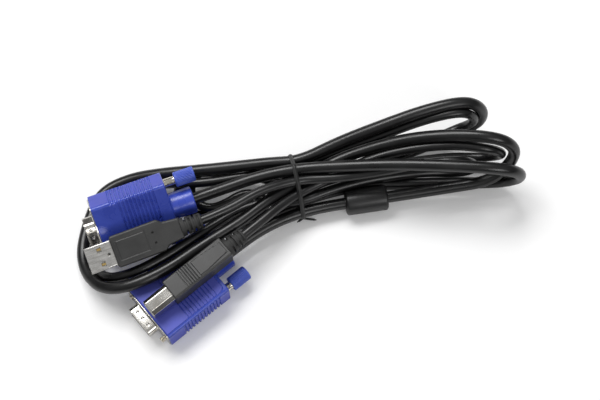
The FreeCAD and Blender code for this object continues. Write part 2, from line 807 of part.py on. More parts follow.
def make_cord(label, points, radius):
    path = rounded_path(points, label)
    start = path.OrderedEdges[0]
    ring = Part.Circle(points[0], start.tangentAt(start.FirstParameter), radius)
    tube = path.makePipeShell([Part.Wire(ring.toShape())], True, True)
    cord = doc.addObject("Part::Feature", label)
    cord.Label = label
    cord.Shape = tube
    plain = math.pi * radius ** 2 * path.Length
    print(label, "length", round(path.Length, 1), "volume ratio", round(tube.Volume / plain, 4))
    return cord


# Twist tie: a belt drawn tight round the outer strands where they cross its slanted plane.
# Each strand is its place across the plane, its height and which cord it is.

TIE_STRANDS = [
    (5.4, 21.2, "video"),
    (-0.2, 20.5, "data"),
    (-5.1, 16.4, "data"),
    (-11.0, 7.1, "video"),
    (-4.5, 3.75, "video"),
    (9.6, 3.75, "video"),
    (11.8, 16.0, "video"),
]


def belt(sketch, slack):
    """Outer tangent lines and arcs round the strands, taken anticlockwise."""
    rounds = [(Vector(u, z, 0), SIZES[cord + "_cord_radius"] + slack) for u, z, cord in TIE_STRANDS]
    normals = []
    for (here, small), (there, large) in zip(rounds, rounds[1:] + rounds[:1]):
        ahead = there - here
        lean = math.asin((small - large) / ahead.Length)
        normals.append(math.atan2(ahead.y, ahead.x) - math.pi / 2 + lean)
    for index, (centre, radius) in enumerate(rounds):
        there, large = rounds[(index + 1) % len(rounds)]
        leave = normals[index]
        enter = normals[index - 1]
        ring = Part.Circle(centre, Vector(0, 0, 1), radius)
        turn = (leave - enter) % (2 * math.pi)
        sketch.addGeometry(Part.ArcOfCircle(ring, enter, enter + turn), False)
        out = Vector(math.cos(leave), math.sin(leave), 0)
        sketch.addGeometry(Part.LineSegment(centre + out * radius, there + out * large), False)


def make_tie(label):
    body = new_body(label)
    ring = new_sketch(body, "YZ_Plane")
    belt(ring, SIZES["tie_clearance"])
    belt(ring, SIZES["tie_clearance"] + SIZES["tie_thick"])
    grow(body, ring, size("tie_width"), both_ways=True)
    low, radius = TIE_STRANDS[3][0], SIZES["video_cord_radius"]
    foot = Vector(0, low - 1.9, TIE_STRANDS[3][1] - radius - SIZES["tie_clearance"] - 0.4)
    for tilt, length in ((-1, 3.4), (1, 6.4)):
        stub = body.newObject("PartDesign::AdditiveCylinder", label + "_stub")
        bind(stub, "Radius", size("tie_wire"))
        stub.Height = length
        aim = Vector(tilt, -0.32, -0.3 if tilt < 0 else -0.16)
        stub.Placement = FreeCAD.Placement(foot, FreeCAD.Rotation(Vector(0, 0, 1), aim))
        doc.recompute()
    return body


# Poses: the middle of each plug's front, its heading about Z and its roll about its own axis.

POSES = {
    "video_plug_1": (Vector(-92.7, -5.3, 17.7), 20.4, 227.5),
    "video_plug_2": (Vector(-69.2, -42.8, 7.5), 40.3, 0.0),
    "flat_plug": (Vector(-95.7, -22.2, 25.0), 21.5, 20.0),
    "square_plug": (Vector(-67.9, -43.4, 20.8), 40.2, 0.0),
}
# How far each screw is drawn back from fully home.
DRAWN = {
    ("video_plug_1", "a"): 2.0,
    ("video_plug_1", "b"): 4.7,
    ("video_plug_2", "a"): 4.0,
    ("video_plug_2", "b"): 2.5,
}


def pose(plug):
    front, heading, roll = POSES[plug]
    turn = FreeCAD.Rotation(Vector(0, 0, 1), heading) * FreeCAD.Rotation(Vector(1, 0, 0), roll)
    return FreeCAD.Placement(front, turn)


def tail_end(plug, length):
    """The point where a cord leaves a plug, on the plug's axis."""
    return pose(plug).multVec(Vector(length, 0, 0))


parts = []
for plug in ("video_plug_1", "video_plug_2"):
    pieces = [make_hood(plug + "_hood"), make_d_shell(plug + "_shell"),
              make_insulator(plug + "_insulator"), make_pins(plug + "_pins")]
    for piece in pieces:
        piece.Placement = pose(plug)
    parts += pieces
    for name, side in (("a", 1), ("b", -1)):
        shift = Vector(DRAWN[plug, name], SIZES["screw_spread"] * side, 0)
        for piece in (make_screw("%s_screw_%s" % (plug, name)),
                      make_knob("%s_knob_%s" % (plug, name))):
            piece.Placement = pose(plug) * FreeCAD.Placement(shift, FreeCAD.Rotation())
            parts.append(piece)

for plug, makers in {
    "flat_plug": {"shell": make_flat_shell, "tongue": make_flat_tongue,
                  "contacts": make_flat_contacts, "grip": make_flat_grip},
    "square_plug": {"shell": make_square_shell, "core": make_square_core,
                    "contacts": make_square_contacts, "grip": make_square_grip},
}.items():
    for name, maker in makers.items():
        piece = maker("%s_%s" % (plug, name))
        piece.Placement = pose(plug)
        parts.append(piece)

video_tail = SIZES["hood_length"] + SIZES["neck_length"] + SIZES["tail_gap"]
relief_tail = SIZES["relief_length"] + SIZES["tail_gap"]
flat_tail = SIZES["flat_exposed"] + SIZES["flat_grip_length"] + SIZES["flat_tail_length"]
square_tail = SIZES["square_exposed"] + SIZES["square_grip_length"]
video_points = [Vector(*point) for point in VIDEO_ROUTE]
video_points[0] = tail_end("video_plug_1", video_tail)
video_points[-1] = tail_end("video_plug_2", video_tail)
data_points = [Vector(*point) for point in DATA_ROUTE]
data_points[0] = tail_end("flat_plug", flat_tail + relief_tail)
data_points[-1] = tail_end("square_plug", square_tail + relief_tail)
parts.append(make_cord("video_cord", video_points, SIZES["video_cord_radius"]))
parts.append(make_cord("data_cord", data_points, SIZES["data_cord_radius"]))

# The bead lies on the straight run between two of the video route's points.
bead_from, bead_to = video_points[61:63]
along = bead_to - bead_from
bead_turn = FreeCAD.Rotation(Vector(1, 0, 0), along)
for piece in (make_ferrite_sleeve("ferrite_sleeve"), make_ferrite_core("ferrite_core")):
    piece.Placement = FreeCAD.Placement(bead_from + along * 0.52, bead_turn)
    parts.append(piece)

TIE_PLACE = FreeCAD.Placement(Vector(-1.6, 18.6, 0), FreeCAD.Rotation(Vector(0, 0, 1), 13.0))
tie = make_tie("twist_tie")
tie.Placement = TIE_PLACE
parts.append(tie)

doc.recompute()
for thing in doc.Objects:
    if "Invalid" in thing.State or "Error" in thing.State:
        raise RuntimeError("%s is not sound" % thing.Label)
os.makedirs("parts", exist_ok=True)
for part in parts:
    if part.Shape.isNull() or not part.Shape.isValid():
        raise RuntimeError("%s has no sound shape" % part.Label)
    part.Shape.exportStep("parts/%s.step" % part.Label)
box = Part.makeCompound([part.Shape for part in parts]).BoundBox
print("pieces", len(parts), "box", [round(edge, 2) for edge in (
    box.XMin, box.YMin, box.ZMin, box.XMax, box.YMax, box.ZMax)])
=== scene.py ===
# %% [markdown]
# # A folded computer-switch lead
# Two cords run side by side through a hank that one twist tie holds. The video cord has a blue D-shaped
# plug with two thumbscrews at each end, and the data cord ends in a flat plug and a square plug. The frame
# already holds every piece as a solid at its real size and place. This lesson gives each piece that shows
# a finer mesh and a finish, and leaves the inner solids their shape.

# %% Load the frame
import math

import bmesh
import bpy
from mathutils import Matrix, Vector


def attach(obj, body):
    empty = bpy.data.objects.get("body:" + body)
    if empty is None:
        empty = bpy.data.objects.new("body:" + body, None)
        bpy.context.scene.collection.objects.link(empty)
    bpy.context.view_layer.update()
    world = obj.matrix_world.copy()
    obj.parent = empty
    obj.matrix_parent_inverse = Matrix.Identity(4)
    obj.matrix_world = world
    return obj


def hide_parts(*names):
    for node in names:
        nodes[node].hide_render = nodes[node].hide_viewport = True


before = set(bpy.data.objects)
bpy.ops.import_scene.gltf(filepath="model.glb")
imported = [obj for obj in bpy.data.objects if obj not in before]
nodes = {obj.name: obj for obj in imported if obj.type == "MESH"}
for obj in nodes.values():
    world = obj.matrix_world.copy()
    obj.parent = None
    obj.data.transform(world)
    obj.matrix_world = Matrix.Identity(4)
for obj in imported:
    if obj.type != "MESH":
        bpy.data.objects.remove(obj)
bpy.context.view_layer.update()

# %% [markdown]
# ## Camera
# The photo looks along +Y and steeply down, through a long lens that leaves almost no perspective. A camera
# can be aimed by a constraint, but this one only turns about X, so one angle and a distance say it all.

# %% Set the camera
TARGET = Vector((-0.0002, 0.0166, 0.0))
ELEVATION = math.radians(70.0)
DISTANCE = 0.6


def add_object(name, data):
    """A new object in the scene."""
    made = bpy.data.objects.new(name, data)
    bpy.context.collection.objects.link(made)
    return made


camera = add_object("camera", bpy.data.cameras.new("camera"))
camera.data.lens = 75.0
camera.data.sensor_width = 36.0
camera.data.clip_start = 0.01
camera.location = TARGET + DISTANCE * Vector((0.0, -math.cos(ELEVATION), math.sin(ELEVATION)))
camera.rotation_euler = (math.pi / 2 - ELEVATION, 0.0, 0.0)
scene = bpy.context.scene
scene.camera = camera
scene.view_settings.view_transform = "Standard"
print("camera at", [round(value, 3) for value in camera.location])

# %% [markdown]
# ## How a finish is mixed
# No moulded or plated surface is even: the tool leaves a fine grain, and broad patches are a little paler or
# glossier. An image could carry that, but it needs an unwrapped mesh and a file. Noise on Object
# coordinates needs neither. A broad noise varies colour and gloss together, and a fine one drives the bump.
# Scales count per metre, so a grain of 5000 has about five grains in a millimetre.

# %% Start a material and its noises
def new_material(name):
    """A material with its shader and its object coordinates."""
    material = bpy.data.materials.new(name)
    material.use_nodes = True
    tree = material.node_tree
    tree.nodes.clear()
    output = tree.nodes.new("ShaderNodeOutputMaterial")
    shader = tree.nodes.new("ShaderNodeBsdfPrincipled")
    tree.links.new(shader.outputs["BSDF"], output.inputs["Surface"])
    place = tree.nodes.new("ShaderNodeTexCoord").outputs["Object"]
    print("finish", name)
    return material, tree, shader, place


def add_noise(tree, place, scale, detail=3.0):
    noise = tree.nodes.new("ShaderNodeTexNoise")
    noise.inputs["Scale"].default_value = scale
    noise.inputs["Detail"].default_value = detail
    tree.links.new(place, noise.inputs["Vector"])
    return noise.outputs["Fac"]


# %% Turn a noise into a value, a colour or a bump
VALUE_SPREAD = (0.3, 0.7)


def add_range(tree, source, low, high):
    """Spreads the middle of a noise, where most of its values lie, from low to high."""
    spread = tree.nodes.new("ShaderNodeMapRange")
    spread.inputs["From Min"].default_value = VALUE_SPREAD[0]
    spread.inputs["From Max"].default_value = VALUE_SPREAD[1]
    spread.inputs["To Min"].default_value = low
    spread.inputs["To Max"].default_value = high
    tree.links.new(source, spread.inputs["Value"])
    return spread.outputs["Result"]


def add_ramp(tree, source, dark, light, stops=(0.32, 0.68)):
    ramp = tree.nodes.new("ShaderNodeValToRGB")
    for element, stop, colour in zip(ramp.color_ramp.elements, stops, (dark, light)):
        element.position = stop
        element.color = (*colour, 1.0)
    tree.links.new(source, ramp.inputs["Fac"])
    return ramp.outputs["Color"]


def add_bump(tree, shader, height, distance, strength):
    bump = tree.nodes.new("ShaderNodeBump")
    bump.inputs["Strength"].default_value = strength
    bump.inputs["Distance"].default_value = distance
    tree.links.new(height, bump.inputs["Height"])
    tree.links.new(bump.outputs["Normal"], shader.inputs["Normal"])


# %% Mix a finish
GRAIN_DETAIL = 2.0
GRAIN_DEPTH = 0.00005


def surface(name, dark, light, rough, grain, bump, metallic=0.0, patch=120.0):
    """Broad patches from a dark to a light colour, uneven gloss and a fine grain of the given scale."""
    material, tree, shader, place = new_material(name)
    broad = add_noise(tree, place, patch)
    fine = add_noise(tree, place, grain, GRAIN_DETAIL)
    tree.links.new(add_ramp(tree, broad, dark, light), shader.inputs["Base Color"])
    tree.links.new(add_range(tree, broad, *rough), shader.inputs["Roughness"])
    shader.inputs["Metallic"].default_value = metallic
    add_bump(tree, shader, fine, GRAIN_DEPTH, bump)
    return material


# %% [markdown]
# ## Floor
# The lead lies on a pale sheet that runs past the picture's edges, so one large grid stands for it, a tenth
# of a millimetre low, because faces that share a plane flicker. More light would whiten the sheet, but it
# would bleach the lead too. So the floor glows faintly, for camera rays only.

# %% Lay the floor
FLOOR_HALF = 3.0
FLOOR_HEIGHT = -0.0001
PALE = surface("pale_floor", (0.87, 0.87, 0.87), (0.89, 0.89, 0.89),
               rough=(0.5, 0.6), grain=900.0, bump=0.02, patch=3.0)


def mesh_data(name, mesh):
    """Turns a finished mesh into an object's data."""
    data = bpy.data.meshes.new(name)
    mesh.to_mesh(data)
    mesh.free()
    return data


floor_mesh = bmesh.new()
bmesh.ops.create_grid(floor_mesh, x_segments=1, y_segments=1, size=FLOOR_HALF,
                      matrix=Matrix.Translation((0.0, 0.0, FLOOR_HEIGHT)))
floor = add_object("floor", mesh_data("floor", floor_mesh))
floor.data.materials.append(PALE)
print("floor", 2 * FLOOR_HALF, "m wide")

# %% Let the floor glow for the camera
FLOOR_GLOW = 0.1
floor_tree = PALE.node_tree
floor_shader = next(node for node in floor_tree.nodes if node.type == "BSDF_PRINCIPLED")
floor_shader.inputs["Emission Color"].default_value = (1.0, 1.0, 1.0, 1.0)
seen = floor_tree.nodes.new("ShaderNodeLightPath")
glow = floor_tree.nodes.new("ShaderNodeMath")
glow.operation = "MULTIPLY"
glow.inputs[1].default_value = FLOOR_GLOW
floor_tree.links.new(seen.outputs["Is Camera Ray"], glow.inputs[0])
floor_tree.links.new(glow.outputs["Value"], floor_shader.inputs["Emission Strength"])
print("floor glow", FLOOR_GLOW)

# %% [markdown]
# ## Light
# Faces turned up are light, those turned to the viewer fall dark, and shadows are soft. A sun would cut hard
# edges, so one large area lamp stands behind the hank, and a weak one in front keeps near faces from going
# black. Plating shows what is around it, so the world is dim at the horizon and light overhead.

# %% Hang the lamps
def add_lamp(name, place, power, size):
    """A rectangular lamp that faces the origin."""
    lamp = add_object(name, bpy.data.lights.new(name, "AREA"))
    lamp.data.energy = power
    lamp.data.shape = "RECTANGLE"
    lamp.data.size, lamp.data.size_y = size
    lamp.location = place
    lamp.rotation_euler = (-Vector(place)).to_track_quat("-Z", "Y").to_euler()
    print("lamp", name, power, "W")


add_lamp("behind", place=(-0.3, 0.53, 0.99), power=11.7, size=(0.9, 0.46))
add_lamp("front", place=(0.55, -0.75, 0.75), power=3.4, size=(0.5, 0.5))

# %% Shade the world
HORIZON = (0.12, 0.12, 0.125)
ZENITH = (0.9, 0.9, 0.9)
SKY_STOPS = (0.1, 0.95)
SKY_STRENGTH = 0.5
world = bpy.data.worlds.new("studio")
scene.world = world
world.use_nodes = True
sky = world.node_tree
ray = sky.nodes.new("ShaderNodeTexCoord")
split = sky.nodes.new("ShaderNodeSeparateXYZ")
sky.links.new(ray.outputs["Generated"], split.inputs["Vector"])
shade = add_ramp(sky, split.outputs["Z"], HORIZON, ZENITH, SKY_STOPS)
sky.links.new(shade, sky.nodes["Background"].inputs["Color"])
sky.nodes["Background"].inputs["Strength"].default_value = SKY_STRENGTH
print("world strength", SKY_STRENGTH)

# %% [markdown]
# ## The two cords
# Both cords have a round black jacket with a slight sheen and are folded three times through the tie. A tube
# of extruded rings would show its facets in the loops. A curve with a round bevel stays smooth, and moving
# one point lays it anew. The control points follow the strand in millimetres from plug to plug.

# %% Lay out the video cord
MM = 0.001


def in_metres(route):
    return [tuple(value * MM for value in point) for point in route]


VIDEO_ROUTE = in_metres([
    # from plug 1 over the tie
    (-49.6, 10.7, 17.7), (-36.5, 15.6, 17.7), (-19.2, 21.4, 19.5), (-0.2, 24.5, 21.4),
    (19.8, 24.5, 24.4), (41.8, 23.6, 28.9), (68.8, 21.2, 33.2),
    # down the first loop at the right
    (93.2, 19.2, 34.3), (102.4, 20.4, 25.1), (102.4, 22.6, 12.1), (93.2, 24.4, 2.9),
    # back along the floor
    (69.8, 24.2, 2.9), (49.8, 23.6, 2.9), (31.8, 23.8, 2.9), (13.8, 19.6, 2.9),
    (-0.2, 14.6, 3.9),
    # round the fold below the plugs
    (-14.2, 8.7, 2.8), (-25.8, 3.8, 2.8), (-34.0, 2.8, 2.9), (-41.4, 7.3, 2.9),
    (-51.2, 7.3, 2.9), (-58.0, 14.0, 2.9), (-58.0, 23.6, 2.9), (-51.0, 30.3, 2.9),
    (-41.4, 30.3, 2.9), (-26.2, 31.8, 2.9), (-13.2, 29.0, 3.1),
    # along the floor to the right
    (-0.2, 26.6, 3.8), (14.8, 28.9, 2.9), (31.8, 33.2, 2.9), (54.8, 40.4, 2.9),
    # up the second loop
    (77.1, 51.2, 2.9), (86.3, 52.0, 12.1), (86.3, 52.9, 25.1), (77.1, 53.2, 34.3),
    # through the tie to the left
    (57.8, 48.8, 33.6), (37.8, 42.9, 29.0), (17.8, 37.6, 21.5), (-0.2, 30.2, 16.0),
    (-14.2, 29.5, 15.8), (-30.2, 27.9, 15.0), (-48.2, 26.5, 13.6), (-66.2, 26.4, 9.8),
    (-82.2, 25.4, 5.0),
    # round the loop at the left
    (-95.6, 19.0, 2.9), (-100.4, 5.0, 2.9), (-103.0, -11.2, 3.4), (-98.8, -23.4, 6.8),
    (-90.2, -31.6, 13.4), (-77.6, -32.3, 19.8),
    # through the tie to the right
    (-61.2, -24.5, 19.6), (-44.5, -11.9, 18.8), (-27.8, -1.0, 18.4), (-14.2, 10.5, 18.4),
    (-0.2, 20.6, 14.6), (14.8, 29.4, 17.0), (29.8, 33.6, 22.0), (49.8, 36.1, 29.8),
    (69.8, 35.0, 37.0),
    # down the third loop
    (90.1, 32.4, 39.6), (99.3, 31.2, 30.4), (99.3, 29.0, 18.4), (90.1, 22.6, 9.6),
    # through the bead and the tie to plug 2
    (69.8, 20.0, 7.6), (45.8, 16.4, 6.4), (17.8, 12.1, 6.4), (1.8, 8.5, 7.0),
    (-13.2, 2.2, 7.8), (-25.1, -5.4, 7.5), (-34.1, -13.0, 7.5),
])
VIDEO_RADIUS = 0.0028
print("video cord:", len(VIDEO_ROUTE), "points")

# %% Lay out the data cord
DATA_ROUTE = in_metres([
    # from the flat plug over the tie
    (-45.5, -2.4, 25.0), (-33.4, 2.6, 25.0), (-18.2, 13.0, 24.0), (-0.2, 19.5, 19.9),
    (14.8, 20.0, 20.0), (33.8, 21.9, 21.8), (55.8, 25.0, 26.2),
    # down the first loop at the right
    (74.3, 25.8, 28.8), (81.9, 26.6, 21.2), (81.9, 28.0, 10.6), (74.3, 29.4, 3.0),
    # back to the tie
    (61.8, 29.4, 4.2), (47.8, 26.6, 7.6), (30.8, 23.0, 9.7), (14.8, 17.8, 11.2),
    (-0.2, 11.2, 12.4),
    # round the fold below the plugs
    (-14.2, 11.8, 8.2), (-25.0, 18.6, 8.2), (-38.0, 10.0, 8.0), (-46.0, 9.6, 7.9),
    (-52.1, 15.4, 7.8), (-52.1, 23.8, 7.6), (-46.0, 29.7, 7.9), (-36.6, 30.2, 7.8),
    (-24.6, 27.0, 6.8), (-13.2, 23.6, 6.4),
    # through the tie to the right
    (-0.2, 20.8, 6.5), (14.8, 24.6, 5.7), (30.8, 30.1, 7.6), (43.8, 35.0, 7.9),
    (57.8, 41.4, 8.2),
    # up the second loop
    (74.2, 49.8, 8.1), (82.1, 50.0, 15.2), (82.1, 49.2, 25.2), (74.4, 48.5, 32.6),
    # through the tie to the left
    (56.8, 45.4, 29.4), (37.8, 40.1, 23.2), (16.8, 35.4, 14.6), (-0.2, 29.6, 9.8),
    (-14.2, 27.2, 10.8), (-30.2, 23.3, 12.1), (-46.2, 20.4, 12.7), (-62.2, 21.4, 10.0),
    (-78.2, 21.0, 4.6),
    # round the loop at the left
    (-89.2, 15.1, 2.3), (-95.8, 3.6, 2.3), (-97.2, -9.4, 2.5), (-95.0, -20.4, 5.6),
    (-88.0, -26.8, 13.4), (-76.0, -25.6, 18.8),
    # through the tie to the right
    (-62.4, -18.0, 18.6), (-50.2, -9.3, 18.0), (-40.8, -2.1, 16.0), (-28.2, 7.2, 13.4),
    (-14.2, 11.8, 12.7), (-0.2, 15.8, 11.4), (11.8, 22.6, 10.6), (29.8, 27.6, 11.5),
    (49.8, 31.6, 10.6), (69.8, 35.0, 9.5),
    # up the third loop
    (86.2, 35.2, 8.5), (93.8, 33.0, 16.1), (93.8, 30.0, 26.9), (86.2, 29.1, 34.5),
    # through the tie to the square plug
    (69.8, 32.0, 32.4), (51.8, 32.1, 27.6), (32.8, 29.8, 21.2), (14.8, 22.6, 14.9),
    (-0.2, 14.6, 15.8), (-9.7, 7.0, 18.6), (-18.2, -1.4, 20.8), (-26.2, -8.2, 20.8),
])
DATA_RADIUS = 0.00225
print("data cord:", len(DATA_ROUTE), "points")

# %% Draw both cords
JACKET = surface("cord_jacket", (0.004, 0.004, 0.0042), (0.0075, 0.0075, 0.0078),
                 rough=(0.26, 0.36), grain=3200.0, bump=0.14)


def make_cord(name, route, radius):
    """One spline whose points carry the radius, so that the bevel itself is of unit depth."""
    curve = bpy.data.curves.new(name, "CURVE")
    curve.dimensions = "3D"
    spline = curve.splines.new("NURBS")
    spline.points.add(len(route) - 1)
    for point, place in zip(spline.points, route):
        point.co = (*place, 1.0)
        point.radius = radius
    spline.order_u = 3
    spline.use_endpoint_u = True
    spline.resolution_u = 8
    curve.bevel_depth = 1.0
    curve.bevel_resolution = 6
    curve.use_fill_caps = True
    cord = add_object(name + "_jacket", curve)
    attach(cord, "cable")
    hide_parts(name)
    print(cord.name, round(2 * radius, 5), "m thick")
    return cord


video_cord = make_cord("video_cord", VIDEO_ROUTE, VIDEO_RADIUS)
data_cord = make_cord("data_cord", DATA_ROUTE, DATA_RADIUS)
for cord in (video_cord, data_cord):
    cord.data.materials.append(JACKET)

# %% [markdown]
# ## Setting a piece in place
# Each plug's front stands at one point, its axis has a heading on the floor, and it is rolled about that.
# Its pieces could be modelled where they lie, but along the X axis every station is a single number. So a
# mesh is finished there, in millimetres, and its vertices are moved last. The object itself stays at the
# origin, as the solids do, and patterns on Object coordinates stay put.

# %% Pose a plug and add a piece
# the front of each plug, with its heading and roll in degrees
POSES = {
    "video_plug_1": ((-92.7, -5.3, 17.7), 20.4, 227.5),
    "video_plug_2": ((-69.2, -42.8, 7.5), 40.3, 0.0),
    "flat_plug": ((-95.7, -22.2, 25.0), 21.5, 20.0),
    "square_plug": ((-67.9, -43.4, 20.8), 40.2, 0.0),
}
VIDEO_PLUGS = ("video_plug_1", "video_plug_2")


def pose(plug):
    front, heading, roll = POSES[plug]
    turn = Matrix.Rotation(math.radians(heading), 4, "Z") @ Matrix.Rotation(math.radians(roll), 4, "X")
    return Matrix.Translation(front) @ turn


def add_piece(name, mesh, matrix, body, node, slot, *materials):
    """Sets a finished mesh in place, in metres, where it rides on its body and hides its node."""
    bmesh.ops.recalc_face_normals(mesh, faces=mesh.faces)
    bmesh.ops.transform(mesh, matrix=Matrix.Scale(MM, 4) @ matrix, verts=mesh.verts)
    data = mesh_data(name, mesh)
    data.shade_smooth()
    data.set_sharp_from_angle(angle=math.radians(38.0))
    piece = add_object(name, data)
    for material in materials:
        data.materials.append(material)
    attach(piece, body)
    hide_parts(node)
    print(name, len(data.polygons), "faces")
    return piece


for plug in POSES:
    print(plug, "axis", [round(value, 3) for value in pose(plug).col[0].xyz])

# %% [markdown]
# ## Outlines and rings
# Hoods, grips and shells have a rounded section. A box with a Bevel modifier has one too, but its grooves and
# dimples would need Booleans, which leave ragged faces. So an outline is drawn in Y and Z, with its outward
# normals, and its edges are extruded from station to station along X. Each ring can be inset, dented or
# rounded on its way.

# %% Draw rounded outlines
def rounded_outline(corners, radius, counts, arc=6):
    """Points round a polygon with rounded corners, anticlockwise, as (y, z, normal y, normal z).

    Each side of the polygon is divided into its own count, so outlines of one kind always match.
    """
    bends = []
    for before, corner, after in zip(corners[-1:] + corners, corners, corners[1:] + corners):
        back = (Vector(before) - Vector(corner)).normalized()
        ahead = (Vector(after) - Vector(corner)).normalized()
        half = math.acos(max(-1.0, min(1.0, back.dot(ahead)))) / 2
        middle = Vector(corner) + (back + ahead).normalized() * radius / math.sin(half)
        bends.append((middle, math.atan2(back.x, -back.y), math.pi - 2 * half))
    points = []
    for (middle, start, turn), (goal, heading, _), count in zip(bends, bends[1:] + bends, counts):
        for step in range(arc + 1):
            angle = start + turn * step / arc
            normal = Vector((math.cos(angle), math.sin(angle)))
            points.append((*(middle + normal * radius), *normal))
        normal = Vector((math.cos(heading), math.sin(heading)))
        end = Vector(points[-1][:2])
        side = goal + normal * radius - end
        for step in range(1, count):
            points.append((*(end + side * step / count), *normal))
    return points


def box_outline(half_y, low, high, radius, across, along):
    """A rounded rectangle that starts at its lower right corner."""
    corners = [(half_y, low), (half_y, high), (-half_y, high), (-half_y, low)]
    return rounded_outline(corners, radius, [along, across, along, across])


# %% Make rings and extrude them
def inset_ring(outline, x, inset=0.0):
    return [(x, y - ny * inset, z - nz * inset) for y, z, ny, nz in outline]


def round_ring(outline, x, radius):
    """A circle whose points lie at the same angles as the outline's."""
    angles = [math.atan2(z, y) for y, z, ny, nz in outline]
    return [(x, radius * math.cos(angle), radius * math.sin(angle)) for angle in angles]


def quarter(first=0, steps=4):
    """Sines and cosines over a quarter turn, which round off an edge."""
    turns = [math.pi / 2 * step / steps for step in range(first, steps + 1)]
    return [(math.sin(turn), math.cos(turn)) for turn in turns]


def rounded_back(outline, x, edge):
    """Rings that round off an edge as they reach x."""
    return [inset_ring(outline, x - edge * (1.0 - rise), edge * (1.0 - fall)) for rise, fall in quarter(1)]


def extrude_rings(mesh, rings, looped=False):
    """Draws the first ring and extrudes its edges from ring to ring, then fills or joins the ends."""
    count = len(rings[0])
    verts = [mesh.verts.new(point) for point in rings[0]]
    first = [mesh.edges.new((verts[i], verts[(i + 1) % count])) for i in range(count)]
    edges = first
    for ring in rings[1:]:
        made = bmesh.ops.extrude_edge_only(mesh, edges=edges)["geom"]
        fresh = {item for item in made if isinstance(item, bmesh.types.BMVert)}
        verts = [next(edge.other_vert(vert) for edge in vert.link_edges if edge.other_vert(vert) in fresh)
                 for vert in verts]
        for vert, point in zip(verts, ring):
            vert.co = point
        edges = [mesh.edges.get((verts[i], verts[(i + 1) % count])) for i in range(count)]
    if looped:
        bmesh.ops.bridge_loops(mesh, edges=first + edges)
    else:
        bmesh.ops.holes_fill(mesh, edges=first + edges, sides=0)


# %% [markdown]
# ## Blue hoods
# Each video plug sits in one blue moulding: a box with a raised grip panel that starts at its front edge,
# fine ribs across the panel, deeper ones round the flanks and the underside, and a round neck for the cord.
# A displacement map could cut the ribs, but it needs a dense mesh everywhere. Here rings stand at the edges
# of the grooves, so each groove is crisp and the mesh between stays light.

# %% Blue plastics
BLUE = surface("blue_moulding", (0.032, 0.060, 0.41), (0.043, 0.078, 0.48),
               rough=(0.24, 0.33), grain=5200.0, bump=0.14)
PANEL_BLUE = surface("blue_panel", (0.062, 0.078, 0.43), (0.078, 0.096, 0.49),
                     rough=(0.5, 0.62), grain=3800.0, bump=0.45)

# %% Raise the panel
HOOD_LENGTH = 35.0
HALF_WIDTH = 15.75
UNDERSIDE = -7.5
DECK = 7.0
PANEL_BACK = 33.4
PANEL_HALF = 14.15
PANEL_CORNER = 2.6
PANEL_LIFT = 0.5
PANEL_SLOPE = (-0.1, 0.12)


def smooth_step(low, high, amount):
    """Rises from 0 at low to 1 at high, with soft ends."""
    share = min(max((amount - low) / (high - low), 0.0), 1.0)
    return share * share * (3.0 - 2.0 * share)


def inside_panel(x, y):
    """Distance from the panel's edge, positive inside it."""
    along = x - PANEL_BACK + PANEL_CORNER
    aside = abs(y) - PANEL_HALF + PANEL_CORNER
    outside = math.hypot(max(along, 0.0), max(aside, 0.0))
    return PANEL_CORNER - outside - min(max(along, aside), 0.0)


print("hood", HOOD_LENGTH, "x", 2 * HALF_WIDTH, "x", DECK - UNDERSIDE, "mm")

# %% Cut the ribs
RIB_PITCH = 1.8
FACE_RIBS = [12.75 + RIB_PITCH * i for i in range(10)]
FLANK_RIBS = [9.15 + RIB_PITCH * i for i in range(12)]
FACE_GROOVE = (0.1, 0.26)
FLANK_GROOVE = (0.24, 0.5)
FACE_CUT = 0.45
FLANK_CUT = 0.6
FLANK_TOP = (6.2, 5.6)
CORNER_REACH = 1.5
FACING = 0.99
VENT = 28.7
VENT_PIT = (0.9, 0.4, 0.65)


def groove(x, centres, bottom, land):
    """How deep a row of grooves is at x: 1 within the bottom's half width, 0 beyond the land's edge."""
    return max(min(1.0, max(0.0, (land - abs(x - centre)) / (land - bottom))) for centre in centres)


def pit(reach, depth, inner, outer):
    """How deep a round dent is at this reach from its middle."""
    return depth * (1.0 - smooth_step(inner, outer, reach))


def hood_point(x, y, z, ny, nz):
    """The hood's skin with its raised panel, its ribs and a small vent underneath."""
    if nz > FACING:
        raised = smooth_step(*PANEL_SLOPE, inside_panel(x, y))
        return (x, y, z + raised * (PANEL_LIFT - FACE_CUT * groove(x, FACE_RIBS, *FACE_GROOVE)))
    below_deck = smooth_step(*FLANK_TOP, z)
    flank = min(1.0, CORNER_REACH * abs(ny)) * below_deck * groove(x, FLANK_RIBS, *FLANK_GROOVE)
    under = min(1.0, CORNER_REACH * max(0.0, -nz)) * groove(x, FACE_RIBS, *FLANK_GROOVE)
    cut = FLANK_CUT * max(flank, under)
    if nz < -FACING:
        cut += pit(math.hypot(x - VENT, y), *VENT_PIT)
    return (x, y - ny * cut, z - nz * cut)


print("ribs:", len(FACE_RIBS), "on the panel and", len(FLANK_RIBS), "on each flank")

# %% Place the stations
PLAIN_FRONT = (0.4, 8.4, 1.0)
VENT_STATIONS = (27.9, 29.5, 0.16)
BACK_STATIONS = (30.4, 34.4, 0.2)
NEAREST_STATION = 0.02


def span(low, high, step):
    """Evenly spaced numbers from low to high, both included."""
    count = max(1, round((high - low) / step))
    return [low + (high - low) * i / count for i in range(count + 1)]


def hood_stations():
    """Stations at the edges of all grooves, closer at the vent and at the panel's back."""
    marks = span(*PLAIN_FRONT) + span(*VENT_STATIONS) + span(*BACK_STATIONS)
    for rib in FLANK_RIBS:
        marks += [rib + side * edge for edge in FACE_GROOVE + FLANK_GROOVE for side in (-1, 1)]
    marks.sort()
    return [mark for i, mark in enumerate(marks) if i == 0 or mark - marks[i - 1] > NEAREST_STATION]


print("stations:", len(hood_stations()))

